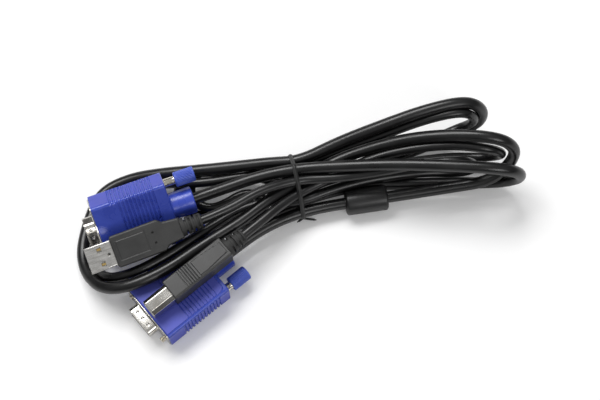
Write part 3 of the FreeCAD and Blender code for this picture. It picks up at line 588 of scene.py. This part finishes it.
# %% Mould the hoods
HOOD_CORNER = 1.5
HOOD_COUNTS = (90, 30)
FRONT_EDGE = [(0.0, 0.35), (0.1, 0.1), (0.35, 0.0)]
BACK_EDGE = 0.6
NECK_RADIUS = 6.3
NECK_EDGE = 0.7
NECK_END = 46.0
NECK_STATIONS = [38.0, 42.0, NECK_END - NECK_EDGE]
NECK_MOUTH = [(NECK_END, 3.1), (NECK_END - 0.5, 2.7)]


def hood_rings(outline):
    """Rings from the front edge over the ribs and round the back edge to the mouth of the neck."""
    rings = [inset_ring(outline, x, inset) for x, inset in FRONT_EDGE]
    rings += [[hood_point(x, *point) for point in outline] for x in hood_stations()]
    rings += rounded_back(outline, HOOD_LENGTH, BACK_EDGE)
    for rise, fall in quarter():
        rings.append(round_ring(outline, HOOD_LENGTH + NECK_EDGE * (1.0 - fall),
                                NECK_RADIUS + NECK_EDGE * (1.0 - rise)))
    rings += [round_ring(outline, x, NECK_RADIUS) for x in NECK_STATIONS]
    for rise, fall in quarter(1):
        rings.append(round_ring(outline, NECK_END - NECK_EDGE * (1.0 - rise),
                                NECK_RADIUS - NECK_EDGE * (1.0 - fall)))
    return rings + [round_ring(outline, x, radius) for x, radius in NECK_MOUTH]


LAND_HEIGHT = DECK + 0.4
LAND_INSET = 0.15
LAND_FRONT = 0.4
FLANK_LAND = HALF_WIDTH - 0.1
FLANK_LAND_TOP = 5.4


def roughen_lands(mesh):
    """The lands of the panel and of the flanks take the second, coarser finish."""
    for face in mesh.faces:
        middle = face.calc_center_median()
        land = middle.z > LAND_HEIGHT and inside_panel(middle.x, middle.y) > LAND_INSET
        flank = abs(middle.y) > FLANK_LAND and middle.z < FLANK_LAND_TOP
        face.material_index = int((land or flank) and middle.x > LAND_FRONT)


def make_hood(plug):
    mesh = bmesh.new()
    extrude_rings(mesh, hood_rings(box_outline(HALF_WIDTH, UNDERSIDE, DECK, HOOD_CORNER, *HOOD_COUNTS)))
    roughen_lands(mesh)
    return add_piece(plug + "_moulding", mesh, pose(plug), "cable", plug + "_hood", "blue_hood",
                     BLUE, PANEL_BLUE)


hoods = [make_hood(plug) for plug in VIDEO_PLUGS]

# %% [markdown]
# ## D-shells
# A drawn steel tube with a rounded D section stands on a flange, and dimples in its long sides grip the
# socket. A Solidify modifier could thicken one skin, but its lip would have square edges. So the rings run
# up the outside, over a rounded lip and down the inside, and the last is bridged to the first.

# %% Dent the D section
NICKEL = surface("nickel_plate", (0.55, 0.53, 0.49), (0.66, 0.645, 0.61),
                 rough=(0.15, 0.24), grain=2600.0, bump=0.04, metallic=1.0)
D_HALVES = (8.45, 6.99, 4.15)
D_CORNER = 2.5
D_ARC = 9
D_COUNTS = [12, 72, 12, 60]
DIMPLE_X = -3.2
DIMPLE_SIDES = (-3.8, 0.0, 3.8)
DIMPLE_PIT = (0.38, 0.25, 0.8)
LONG_SIDE = 0.95


def d_outline(inset):
    """The D section, from half its wide side, half its narrow side and half its height."""
    wide, narrow, tall = (half - inset for half in D_HALVES)
    corners = [(narrow, -tall), (wide, tall), (-wide, tall), (-narrow, -tall)]
    return rounded_outline(corners, D_CORNER - inset, D_COUNTS, arc=D_ARC)


def dimpled_ring(outline, x, inset=0.0):
    ring = []
    for y, z, ny, nz in outline:
        dent = inset
        if abs(nz) > LONG_SIDE:
            reach = min(math.hypot(x - DIMPLE_X, y - side) for side in DIMPLE_SIDES)
            dent += pit(reach, *DIMPLE_PIT)
        ring.append((x, y - ny * dent, z - nz * dent))
    return ring


print("D section", 2 * D_HALVES[0], "x", 2 * D_HALVES[2], "mm")

# %% Draw the D-shells
D_SHEET = 0.45
D_FRONT = -5.6
D_LIP = [(D_FRONT + 0.08, 0.06), (D_FRONT, 0.18)]
D_LIP_INSIDE = (D_FRONT, -0.16)
DIMPLE_REACH = 0.96
DIMPLE_STEP = 0.12
FLANGE = 0.6
FLANGE_FOOT = 0.5
FLANGE_PLATE = box_outline(15.1, -6.1, 6.1, radius=1.6, across=20, along=8)
FLANGE_STEPS = [(0.03 - FLANGE, 0.12), (0.14 - FLANGE, 0.0), (-0.1, 0.0), (0.0, 0.1)]


def tube_rings(ring, outer, inner, stations, lip, lip_inside):
    """Rings along the outside of a sheet tube, over its rounded lip and back along the inside."""
    rings = [ring(outer, x) for x in stations]
    rings += [ring(outer, x, inset) for x, inset in lip]
    rings.append(ring(inner, *lip_inside))
    return rings + [ring(inner, x) for x in reversed(stations)]


def make_d_shell(plug):
    outer = d_outline(0.0)
    inner = d_outline(D_SHEET)
    dimpled = span(DIMPLE_X + DIMPLE_REACH, DIMPLE_X - DIMPLE_REACH, -DIMPLE_STEP)
    stations = [-FLANGE - 0.8] + dimpled + [D_FRONT + 0.3]
    rings = [inset_ring(outer, -FLANGE - FLANGE_FOOT * (1.0 - fall), FLANGE_FOOT * (rise - 1.0))
             for rise, fall in quarter()]
    rings += tube_rings(dimpled_ring, outer, inner, stations, D_LIP, D_LIP_INSIDE)
    rings.append(inset_ring(inner, -FLANGE))
    mesh = bmesh.new()
    extrude_rings(mesh, rings, looped=True)
    extrude_rings(mesh, [inset_ring(FLANGE_PLATE, x, inset) for x, inset in FLANGE_STEPS])
    add_piece(plug + "_d_shell", mesh, pose(plug), "cable", plug + "_shell", "nickel", NICKEL)


for plug in VIDEO_PLUGS:
    make_d_shell(plug)

# %% [markdown]
# ## Thumbscrews
# A plated screw with a fine right-hand thread at its tip and a knurled blue knob at its back. The Screw
# modifier can wind a thread, but leaves its ends open. Rings along X close themselves, and the ridge simply
# stands at another angle in each. The shank and the knob are spun from their profiles, and the furrows are
# pressed in between the knob's smooth rims.

# %% Turn a profile
SPIN_MERGE = 0.0005


def turn_profile(mesh, profile, steps, closed=False):
    """Spins (x, radius) points about the X axis and closes the seam and the poles."""
    verts = [mesh.verts.new((x, 0.0, radius)) for x, radius in profile]
    pairs = list(zip(verts, verts[1:]))
    if closed:
        pairs.append((verts[-1], verts[0]))
    edges = [mesh.edges.new(pair) for pair in pairs]
    bmesh.ops.spin(mesh, geom=verts + edges, cent=(0.0, 0.0, 0.0), axis=(1.0, 0.0, 0.0),
                   dvec=(0.0, 0.0, 0.0), angle=2 * math.pi, steps=steps, use_merge=True)
    bmesh.ops.remove_doubles(mesh, verts=mesh.verts, dist=SPIN_MERGE)


# %% Wind the thread
SCREW_TIP = -5.5
TIP_RADIUS = 0.85
WAIST = -0.9
PITCH = 0.635
THREAD_ROOT = 1.1
THREAD_DEPTH = 0.32
THREAD_RIDGE = (0.1, 0.9)
THREAD_START = (SCREW_TIP - 0.3, SCREW_TIP + 0.6)
THREAD_END = (WAIST, WAIST - 0.5)


def circle_outline(count):
    turns = [2 * math.pi * i / count for i in range(count)]
    return [(math.cos(turn), math.sin(turn), math.cos(turn), math.sin(turn)) for turn in turns]


def thread_ring(outline, x):
    """The thread's section at x: a rounded ridge that turns once in each pitch."""
    fade = smooth_step(*THREAD_START, x) * smooth_step(*THREAD_END, x)
    ring = []
    for y, z, ny, nz in outline:
        turn = x / PITCH - math.atan2(z, y) / (2 * math.pi)
        ridge = smooth_step(*THREAD_RIDGE, 1.0 - abs(2.0 * (turn % 1.0) - 1.0))
        radius = THREAD_ROOT + THREAD_DEPTH * ridge * fade
        ring.append((x, y * radius, z * radius))
    return ring


print("thread", round((WAIST - SCREW_TIP) / PITCH, 1), "turns")

# %% Turn the screws
SHANK = surface("screw_plate", (0.62, 0.58, 0.49), (0.74, 0.70, 0.62),
                rough=(0.17, 0.28), grain=3000.0, bump=0.12, metallic=1.0)
KNOB_FRONT = 35.5
KNOB_END = 45.0
SHOULDER = 2.1
SHANK_RADIUS = 1.95
SHANK_NICK = 1.8
SHANK_BACK = KNOB_FRONT + 0.2
SHANK_PROFILE = [
    (SHOULDER, 0.0), (SHOULDER, SHANK_NICK), (SHOULDER + 0.15, SHANK_RADIUS),
    (34.4, SHANK_RADIUS), (34.6, SHANK_NICK), (34.8, SHANK_NICK), (35.0, SHANK_RADIUS),
    (SHANK_BACK, SHANK_RADIUS), (SHANK_BACK, 0.0),
]
SCREW_SIDES = 40
SHANK_SIDES = 48
THREAD_STEP = 0.07


def make_screw(plug, name, place):
    outline = circle_outline(SCREW_SIDES)
    rings = [round_ring(outline, SCREW_TIP, TIP_RADIUS)]
    rings += [thread_ring(outline, x) for x in span(SCREW_TIP + 0.15, WAIST, THREAD_STEP)]
    rings.append(round_ring(outline, SHOULDER + 0.1, THREAD_ROOT))
    mesh = bmesh.new()
    extrude_rings(mesh, rings)
    turn_profile(mesh, SHANK_PROFILE, SHANK_SIDES)
    body = f"{plug}_thumbscrew_{name}"
    add_piece(body + "_shank", mesh, place, body, f"{plug}_screw_{name}", "steel", SHANK)


# how far each screw is drawn back, and how far it stands to the side of the plug's axis
DRAWN = {
    ("video_plug_1", "a"): 2.0,
    ("video_plug_1", "b"): 4.7,
    ("video_plug_2", "a"): 4.0,
    ("video_plug_2", "b"): 2.5,
}
SCREW_SIDE = {"a": 12.5, "b": -12.5}
screw_places = {}
for (plug, name), drawn in DRAWN.items():
    screw_places[plug, name] = pose(plug) @ Matrix.Translation((drawn, SCREW_SIDE[name], 0.0))
    make_screw(plug, name, screw_places[plug, name])

# %% Press the knobs
KNOB_BLUE = surface("blue_knob", (0.042, 0.082, 0.45), (0.054, 0.102, 0.53),
                    rough=(0.32, 0.42), grain=5200.0, bump=0.2)
KNOB_RIM = [(0.0, 0.0), (0.0, 3.1), (0.1, 3.3), (0.3, 3.44), (0.55, 3.5), (0.8, 3.5), (1.15, 3.5)]
KNOB_HOLLOW = [(KNOB_END, 2.0), (KNOB_END - 0.3, 1.8), (KNOB_END - 0.3, 0.0)]
KNURLS = 30
KNURL_SIDES = 6
KNURL_RIM = 1.0
KNURL_DEPTH = 0.1
KNURL_SHARPNESS = 1.3


def make_knob(plug, name, place):
    profile = [(KNOB_FRONT + x, radius) for x, radius in KNOB_RIM]
    profile += [(KNOB_END - x, radius) for x, radius in reversed(KNOB_RIM[1:])]
    mesh = bmesh.new()
    turn_profile(mesh, profile + KNOB_HOLLOW, KNURLS * KNURL_SIDES)
    for vert in mesh.verts:
        if KNOB_FRONT + KNURL_RIM < vert.co.x < KNOB_END - KNURL_RIM:
            ridge = abs(math.sin(math.atan2(vert.co.z, vert.co.y) * KNURLS / 2))
            vert.co.yz *= 1.0 - KNURL_DEPTH * (1.0 - ridge) ** KNURL_SHARPNESS
    body = f"{plug}_thumbscrew_{name}"
    add_piece(body + "_grip", mesh, place, body, f"{plug}_knob_{name}", "blue_knob", KNOB_BLUE)


for (plug, name), place in screw_places.items():
    make_knob(plug, name, place)

# %% [markdown]
# ## Strain reliefs
# Both data plugs have a soft grey grip that ends in a tapered strain relief. Its slots open by turns on the
# flanks and on the faces, so that it bends evenly. Booleans could cut them, but the grip's own rings do it
# too: in a slot, two opposite sides of a ring drop to a round core.

# %% Ring a relief
GRIP = surface("grip_moulding", (0.023, 0.023, 0.0228), (0.033, 0.033, 0.0325),
               rough=(0.38, 0.5), grain=6500.0, bump=0.5)
RELIEF = surface("relief_moulding", (0.020, 0.020, 0.0198), (0.028, 0.028, 0.0276),
                 rough=(0.66, 0.76), grain=6500.0, bump=0.2)
RELIEF_LENGTH = 10.0
RELIEF_RADIUS = 4.4
RELIEF_TAPER = 0.085
RELIEF_CORE = 2.8
RELIEF_EDGE = 0.3
RELIEF_MOUTH = 1.9
SLOTS = [2.4, 4.4, 6.4, 8.4]
SLOT_HALF = 0.42
SLOT_EDGE = 0.15
SLOT_WALL = 0.02
SLOT_REACH = 0.5


def relief_ring(outline, start, x, inset=0.0, slot=None):
    """A ring of the taper. In an even slot the flanks drop to the core, in an odd one the faces."""
    full = RELIEF_RADIUS - RELIEF_TAPER * (x - start) - inset
    ring = []
    for y, z, ny, nz in outline:
        angle = math.atan2(z, y)
        radius = full
        if slot is not None:
            across = math.sin(angle) if slot % 2 else math.cos(angle)
            radius = RELIEF_CORE if abs(across) > SLOT_REACH else full
        ring.append((x, radius * math.cos(angle), radius * math.sin(angle)))
    return ring


def relief_rings(outline, start):
    rings = [relief_ring(outline, start, start)]
    for slot, middle in enumerate(SLOTS):
        low = start + middle - SLOT_HALF
        high = start + middle + SLOT_HALF
        for x, inset, cut in ((low - SLOT_EDGE, 0.0, None), (low, SLOT_EDGE, None),
                              (low + SLOT_WALL, SLOT_EDGE, slot), (high - SLOT_WALL, SLOT_EDGE, slot),
                              (high, SLOT_EDGE, None), (high + SLOT_EDGE, 0.0, None)):
            rings.append(relief_ring(outline, start, x, inset, cut))
    end = start + RELIEF_LENGTH
    rings.append(relief_ring(outline, start, end - RELIEF_EDGE))
    rings.append(relief_ring(outline, start, end, RELIEF_EDGE))
    return rings + [round_ring(outline, end, RELIEF_MOUTH)]


def dull_relief(mesh, start):
    """Faces behind the start take the second, duller finish."""
    for face in mesh.faces:
        face.material_index = int(face.calc_center_median().x > start)


print("relief", RELIEF_LENGTH, "mm long with", len(SLOTS), "slots")

# %% [markdown]
# ## Flat plug's grip
# Seen from above, the grip has rounded front corners and a hollow shoulder. Its face has a pressed panel
# outline and two small dimples. A bevelled box has no hollow shoulder, so every station works out its own
# width and height, and the face's points are pressed in where a line or a dimple passes.

# %% Shape the flat grip
FLAT_FRONT = 12.2
FLAT_SHOULDER = 35.9
FLAT_BACK = 44.4
FLAT_HALF = 7.5
FRONT_ROUND = 1.2
SHOULDER_STEP = 1.8
SHOULDER_SPAN = (FLAT_SHOULDER - 1.6, FLAT_SHOULDER + 1.4)
TAIL_START = FLAT_SHOULDER + 1.0
TAIL_TAPER = 0.85


def flat_half_width(x):
    wide = FLAT_HALF - SHOULDER_STEP * smooth_step(*SHOULDER_SPAN, x)
    wide -= TAIL_TAPER * max(0.0, (x - TAIL_START) / (FLAT_BACK - TAIL_START))
    front = max(0.0, FRONT_ROUND - (x - FLAT_FRONT))
    return wide - (FRONT_ROUND - math.sqrt(FRONT_ROUND * FRONT_ROUND - front * front))


FLAT_TALL = 4.0
TAIL_DROP = 0.35
TAIL_SPAN = (FLAT_SHOULDER - 1.0, FLAT_SHOULDER + 2.0)
EDGE_LENGTH = 0.4
FRONT_DROP = 0.3
BACK_DROP = 0.25


def flat_half_height(x):
    """The flat grip seen from the side: lower behind the shoulder, with eased ends."""
    tall = FLAT_TALL - TAIL_DROP * smooth_step(*TAIL_SPAN, x)
    tall -= FRONT_DROP * max(0.0, 1.0 - (x - FLAT_FRONT) / EDGE_LENGTH) ** 2
    return tall - BACK_DROP * max(0.0, 1.0 - (FLAT_BACK - x) / EDGE_LENGTH) ** 2


print("flat grip", 2 * FLAT_HALF, "mm wide, at its back", round(2 * flat_half_width(FLAT_BACK), 2), "mm")

# %% Mould the flat grip
PANEL_MIDDLE = FLAT_FRONT + 9.0
PANEL_LINE_HALF = (6.8, 4.4)
PANEL_LINE = (0.16, 0.1, 0.34)
PIP_X = FLAT_SHOULDER - 4.35
PIP_SIDE = 2.4
PIP = (0.7, 0.25, 0.55)
FLAT_STEP = 0.2
FLAT_CORNER = 1.1
FLAT_COUNTS = (56, 10)


def flat_point(x, y, z, ny, nz):
    if nz < FACING:
        return (x, y, z)
    along = abs(x - PANEL_MIDDLE) - PANEL_LINE_HALF[0]
    aside = abs(y) - PANEL_LINE_HALF[1]
    dent = pit(abs(max(along, aside)), *PANEL_LINE)
    for side in (-PIP_SIDE, PIP_SIDE):
        dent = max(dent, pit(math.hypot(x - PIP_X, y - side), *PIP))
    return (x, y, z - dent)


def make_flat_grip():
    rings = []
    for x in span(FLAT_FRONT, FLAT_BACK, FLAT_STEP):
        tall = flat_half_height(x)
        outline = box_outline(flat_half_width(x), -tall, tall, FLAT_CORNER, *FLAT_COUNTS)
        rings.append([flat_point(x, *point) for point in outline])
    mesh = bmesh.new()
    extrude_rings(mesh, rings + relief_rings(outline, FLAT_BACK))
    dull_relief(mesh, FLAT_BACK)
    return add_piece("flat_plug_moulding", mesh, pose("flat_plug"), "cable", "flat_plug_grip", "grey_grip",
                     GRIP, RELIEF)


flat_grip = make_flat_grip()

# %% [markdown]
# ## Square plug's grip
# A square bar with fine ridges across two faces, a raised pad behind them that narrows to the back, and a
# small dimple in each flank. Strips set on a bevelled cube would do, but a mould cuts all of it into one
# skin. So the same kind of rings carries all three.

# %% Mould the square grip
SQUARE_FRONT = 12.0
SQUARE_BACK = 44.6
SQUARE_HALF = 5.2
SQUARE_CORNER = 1.0
SQUARE_COUNTS = (44, 36)
SQUARE_FRONT_EDGE = [(0.0, 0.4), (0.1, 0.15), (0.4, 0.0)]
SQUARE_BACK_EDGE = 0.6
SQUARE_STATIONS = (SQUARE_FRONT + 0.5, SQUARE_BACK - 0.7, 0.14)
RIDGES = [SQUARE_FRONT + 7.65 + 1.25 * i for i in range(6)]
RIDGE_GROOVE = (0.14, 0.28)
RIDGE_CUT = 0.42
PAD_FRONT = SQUARE_FRONT + 15.4
PAD_BACK = SQUARE_BACK - 1.4
PAD_HALF = 3.8
PAD_TAPER = 0.9
PAD_TAPER_SPAN = (SQUARE_FRONT + 18.0, PAD_BACK)
PAD_LIFT = 0.4
PAD_SLOPE = (-0.12, 0.12)
DENT_X = SQUARE_FRONT + 21.0
DENT = (0.5, 0.25, 0.6)


def square_point(x, y, z, ny, nz):
    if abs(nz) > FACING:
        half = PAD_HALF - PAD_TAPER * smooth_step(*PAD_TAPER_SPAN, x)
        pad = min(x - PAD_FRONT, PAD_BACK - x, half - abs(y))
        lift = PAD_LIFT * smooth_step(*PAD_SLOPE, pad) - RIDGE_CUT * groove(x, RIDGES, *RIDGE_GROOVE)
        return (x, y, z + nz * lift)
    if abs(ny) > FACING:
        dent = pit(math.hypot(x - DENT_X, z), *DENT)
        return (x, y - ny * dent, z)
    return (x, y, z)


def make_square_grip():
    outline = box_outline(SQUARE_HALF, -SQUARE_HALF, SQUARE_HALF, SQUARE_CORNER, *SQUARE_COUNTS)
    rings = [inset_ring(outline, SQUARE_FRONT + x, inset) for x, inset in SQUARE_FRONT_EDGE]
    rings += [[square_point(x, *point) for point in outline] for x in span(*SQUARE_STATIONS)]
    rings += rounded_back(outline, SQUARE_BACK, SQUARE_BACK_EDGE)
    mesh = bmesh.new()
    extrude_rings(mesh, rings + relief_rings(outline, SQUARE_BACK))
    dull_relief(mesh, SQUARE_BACK)
    return add_piece("square_plug_moulding", mesh, pose("square_plug"), "cable", "square_plug_grip",
                     "grey_grip", GRIP, RELIEF)


square_grip = make_square_grip()

# %% [markdown]
# ## Square shell
# A folded steel tube with both upper corners cut. The solid's faces are dead flat, and a flat mirror shows
# one even tone. Bent sheet is a little crowned, so each ring sinks slightly towards the front lip, and the
# plating takes up light and dark from the room.

# %% Fold the square shell
BRIGHT = surface("bright_plate", (0.58, 0.56, 0.52), (0.68, 0.665, 0.63),
                 rough=(0.07, 0.13), grain=2600.0, bump=0.06, metallic=1.0)
TUBE_HALF_WIDE = 4.225
TUBE_HALF_TALL = 3.89
TUBE_CUT = 1.9
# what a corner cut at 45 degrees loses for each unit of inset
CUT_LOSS = 0.586
TUBE_CORNER = 0.35
TUBE_ARC = 4
TUBE_COUNTS = [8, 4, 12, 4, 8, 12]
TUBE_SHEET = 0.35
TUBE_STATIONS = (13.4, 0.3, -0.8)
TUBE_LIP = [(0.08, 0.06), (0.0, 0.15)]
TUBE_LIP_INSIDE = (0.0, -0.1)
CROWN_LENGTH = 9.0
CROWN_SAG = 0.1


def square_outline(inset):
    wide = TUBE_HALF_WIDE - inset
    tall = TUBE_HALF_TALL - inset
    cut = TUBE_CUT - CUT_LOSS * inset
    corners = [(wide, -tall), (wide, tall - cut), (wide - cut, tall),
               (cut - wide, tall), (-wide, tall - cut), (-wide, -tall)]
    return rounded_outline(corners, TUBE_CORNER, TUBE_COUNTS, arc=TUBE_ARC)


def crowned_ring(outline, x, inset=0.0):
    return inset_ring(outline, x, inset + CROWN_SAG * (min(x - CROWN_LENGTH, 0.0) / CROWN_LENGTH) ** 2)


def make_square_shell():
    rings = tube_rings(crowned_ring, square_outline(0.0), square_outline(TUBE_SHEET), span(*TUBE_STATIONS),
                       TUBE_LIP, TUBE_LIP_INSIDE)
    mesh = bmesh.new()
    extrude_rings(mesh, rings, looped=True)
    add_piece("square_plug_tube", mesh, pose("square_plug"), "cable", "square_plug_shell", "nickel", BRIGHT)


make_square_shell()

# %% [markdown]
# ## Ferrite bead
# A smooth moulded sleeve with rounded ends on the straight run of the video cord beside the tie. A bevelled
# cylinder has no bore for the cord. So a closed profile, round the outside and back through the bore, is
# spun about the X axis. Rows of vertices are pressed in on both sides for the mould's faint parting line.

# %% Spin the bead
SLEEVE = surface("bead_sleeve", (0.006, 0.006, 0.0063), (0.009, 0.009, 0.0093),
                 rough=(0.34, 0.44), grain=4200.0, bump=0.2)
BEAD_HALF = 10.0
BEAD_RADIUS = 6.0
BEAD_EDGE = 1.3
BEAD_EDGE_STEPS = 6
BEAD_MOUTH = [(BEAD_HALF, 2.95), (BEAD_HALF - 0.3, 2.72)]
BEAD_BARREL = [(-4.0, BEAD_RADIUS), (4.0, BEAD_RADIUS)]
BEAD_SIDES = 96
PARTING_HALF = 0.25
PARTING_SKIN = BEAD_RADIUS - 0.1
PARTING_SHARE = 0.985
# the two route points between which the bead sits, and how far along it is
BEAD_RUN = [Vector(point) / MM for point in VIDEO_ROUTE[-6:-4]]
BEAD_SHARE = 0.52


def make_bead():
    end = [(BEAD_HALF - BEAD_EDGE * (1.0 - rise), BEAD_RADIUS - BEAD_EDGE * (1.0 - fall))
           for rise, fall in quarter(0, BEAD_EDGE_STEPS)] + BEAD_MOUTH
    profile = [(-x, radius) for x, radius in reversed(end)] + BEAD_BARREL + end
    mesh = bmesh.new()
    turn_profile(mesh, profile, BEAD_SIDES, closed=True)
    for vert in mesh.verts:
        if abs(vert.co.z) < PARTING_HALF and abs(vert.co.y) > PARTING_SKIN:
            vert.co.y *= PARTING_SHARE
    along = BEAD_RUN[1] - BEAD_RUN[0]
    turn = along.to_track_quat("X", "Z").to_matrix().to_4x4()
    place = Matrix.Translation(BEAD_RUN[0] + along * BEAD_SHARE) @ turn
    return add_piece("ferrite_jacket", mesh, place, "cable", "ferrite_sleeve", "black_sleeve", SLEEVE)


bead = make_bead()

# %% [markdown]
# ## Twist tie
# A plastic ribbon with a wire down its middle, drawn tight round the outer strands in a slanted plane. Its
# ends are twisted off in front, and a little bare wire shows. A simulation would be slow, while a tight belt
# round circles is plain geometry: arcs on the strands and straight runs that touch two of them. The
# ribbon's section is extruded along that belt, and the ends are spun stubs.

# %% Find the belt
VIDEO_STRAND = 2.6
DATA_STRAND = 1.95
TIE_STRANDS = [
    (5.4, 21.2, VIDEO_STRAND),
    (-0.2, 20.5, DATA_STRAND),
    (-5.1, 16.4, DATA_STRAND),
    (-11.0, 7.1, VIDEO_STRAND),
    (-4.5, 3.75, VIDEO_STRAND),
    (9.6, 3.75, VIDEO_STRAND),
    (11.8, 16.0, VIDEO_STRAND),
]
TIE_SLACK = 0.4
BELT_STEPS = 8


def belt_frames(slack):
    """Points and outward normals along a belt round the strands."""
    rounds = [(Vector((along, height)), radius + slack) for along, height, radius in TIE_STRANDS]
    leaving = []
    for (here, radius), (there, next_radius) in zip(rounds, rounds[1:] + rounds[:1]):
        ahead = there - here
        lean = math.asin((radius - next_radius) / ahead.length)
        leaving.append(math.atan2(ahead.y, ahead.x) - math.pi / 2 + lean)
    frames = []
    for i, (centre, radius) in enumerate(rounds):
        turn = (leaving[i] - leaving[i - 1]) % (2 * math.pi)
        for step in range(BELT_STEPS + 1):
            angle = leaving[i - 1] + turn * step / BELT_STEPS
            out = Vector((math.cos(angle), math.sin(angle)))
            frames.append((centre + out * radius, out))
    return frames


print("belt touches", len(TIE_STRANDS), "strands at", len(belt_frames(TIE_SLACK)), "points")

# %% Twist the tie
TIE_SKIN = surface("tie_skin", (0.009, 0.009, 0.009), (0.015, 0.015, 0.015),
                   rough=(0.35, 0.5), grain=5000.0, bump=0.2)
TIE_PLACE = Matrix.Translation((-1.6, 18.6, 0.0)) @ Matrix.Rotation(math.radians(13.0), 4, "Z")
TIE_SECTION = [(-1.0, 0.1), (-0.95, 0.0), (0.95, 0.0), (1.0, 0.1), (0.95, 0.2), (0.62, 0.26),
               (0.42, 0.48), (0.0, 0.6), (-0.42, 0.48), (-0.62, 0.26), (-0.95, 0.2)]
TIE_FOOT = Matrix.Translation((0.0, -12.9, 3.7))
TIE_ENDS = [((-1.0, -0.32, -0.3), 3.4), ((1.0, -0.32, -0.16), 6.4)]
STUB_RADIUS = 0.55
STUB_SIDES = 16
WIRE_RADIUS = 0.3
BARE_WIRE = 0.8


def add_tie_end(mesh, aim, length):
    """A twisted stub with a little bare wire at its tip."""
    stub = bmesh.new()
    wire_start = length - BARE_WIRE
    profile = [(0.0, 0.0), (0.0, STUB_RADIUS), (wire_start - 0.1, STUB_RADIUS), (wire_start, WIRE_RADIUS),
               (length - 0.06, WIRE_RADIUS), (length, 0.2), (length, 0.0)]
    turn_profile(stub, profile, STUB_SIDES)
    turn = Vector(aim).to_track_quat("X", "Z").to_matrix().to_4x4()
    bmesh.ops.transform(stub, matrix=TIE_FOOT @ turn, verts=stub.verts)
    data = mesh_data("tie_end", stub)
    mesh.from_mesh(data)
    bpy.data.meshes.remove(data)


def make_tie():
    mesh = bmesh.new()
    rings = [[(x, spot.x + out.x * rise, spot.y + out.y * rise) for x, rise in TIE_SECTION]
             for spot, out in belt_frames(TIE_SLACK)]
    extrude_rings(mesh, rings, looped=True)
    for aim, length in TIE_ENDS:
        add_tie_end(mesh, aim, length)
    add_piece("tie_ribbon", mesh, TIE_PLACE, "cable", "twist_tie", "black_tie", TIE_SKIN)


make_tie()

# %% [markdown]
# ## The solids that stay
# Pins, contacts, insulators and the flat shell are right as solids and only take a finish here. The flat
# shell's plating has drawing marks along the plug's axis: a Mapping node turns and stretches a noise for
# them. Solids have knife edges, which no sheet has, so a Weld modifier joins the loose triangles of the
# shell and its tongue, and a hair-thin Bevel lets their edges catch light.

# %% Brush the flat shell's plating
STREAK_SIZE = (0.006, 0.0005, 0.0005)
STREAK_DETAIL = 4.0
STREAK_DEPTH = 0.00004
STREAK_BUMP = 0.25
SMUDGE_SCALE = 380.0


def brushed(name, heading, dark, light, rough):
    """Plating with drawing marks along a plug's own axis and a few smudges."""
    material, tree, shader, place = new_material(name)
    turn = tree.nodes.new("ShaderNodeMapping")
    turn.vector_type = "TEXTURE"
    turn.inputs["Rotation"].default_value = (0.0, 0.0, math.radians(heading))
    turn.inputs["Scale"].default_value = STREAK_SIZE
    tree.links.new(place, turn.inputs["Vector"])
    streaks = add_noise(tree, turn.outputs["Vector"], 1.0, STREAK_DETAIL)
    smudges = add_noise(tree, place, SMUDGE_SCALE)
    tree.links.new(add_ramp(tree, streaks, dark, light), shader.inputs["Base Color"])
    tree.links.new(add_range(tree, smudges, *rough), shader.inputs["Roughness"])
    shader.inputs["Metallic"].default_value = 1.0
    add_bump(tree, shader, streaks, STREAK_DEPTH, STREAK_BUMP)
    return material


FLAT_PLATE = brushed("flat_plate", POSES["flat_plug"][1], (0.50, 0.49, 0.465),
                     (0.74, 0.73, 0.71), rough=(0.2, 0.36))

# %% Finish the solids
DEEP_BLUE = surface("blue_insulator", (0.02, 0.04, 0.26), (0.03, 0.05, 0.32),
                    rough=(0.45, 0.55), grain=4000.0, bump=0.15)
GOLD = surface("gold_flash", (0.72, 0.50, 0.18), (0.83, 0.61, 0.26),
               rough=(0.2, 0.3), grain=3000.0, bump=0.1, metallic=1.0)
WHITE = surface("white_tongue", (0.70, 0.70, 0.68), (0.78, 0.78, 0.76),
                rough=(0.4, 0.5), grain=4000.0, bump=0.1)
BLACK = surface("black_core", (0.02, 0.02, 0.02), (0.03, 0.03, 0.03),
                rough=(0.45, 0.55), grain=4000.0, bump=0.15)
CERAMIC = surface("ferrite_body", (0.05, 0.05, 0.052), (0.08, 0.08, 0.083),
                  rough=(0.5, 0.65), grain=3500.0, bump=0.3)
KEPT = {
    "video_plug_1_insulator": DEEP_BLUE,
    "video_plug_2_insulator": DEEP_BLUE,
    "video_plug_1_pins": GOLD,
    "video_plug_2_pins": GOLD,
    "flat_plug_shell": FLAT_PLATE,
    "flat_plug_tongue": WHITE,
    "flat_plug_contacts": GOLD,
    "square_plug_core": BLACK,
    "square_plug_contacts": GOLD,
    "ferrite_core": CERAMIC,
}
for name, material in KEPT.items():
    nodes[name].data.materials.clear()
    nodes[name].data.materials.append(material)
print(len(KEPT), "solids keep their shape")

# %% Soften the edges that show
EDGE_WIDTH = 0.00012
for name in ("flat_plug_shell", "flat_plug_tongue"):
    weld = nodes[name].modifiers.new("weld", "WELD")
    weld.merge_threshold = 0.00001
    bevel = nodes[name].modifiers.new("edges", "BEVEL")
    bevel.width = EDGE_WIDTH
    bevel.segments = 2
    bevel.limit_method = "ANGLE"
    bevel.angle_limit = math.radians(40.0)
    bevel.harden_normals = True
    print(name, "edges eased by", EDGE_WIDTH, "m")

# %% [markdown]
# ## Closing
# A real cord can be laid anew. Here the view layer is only brought up to date at the end.

# %% Finish
bpy.context.view_layer.update()
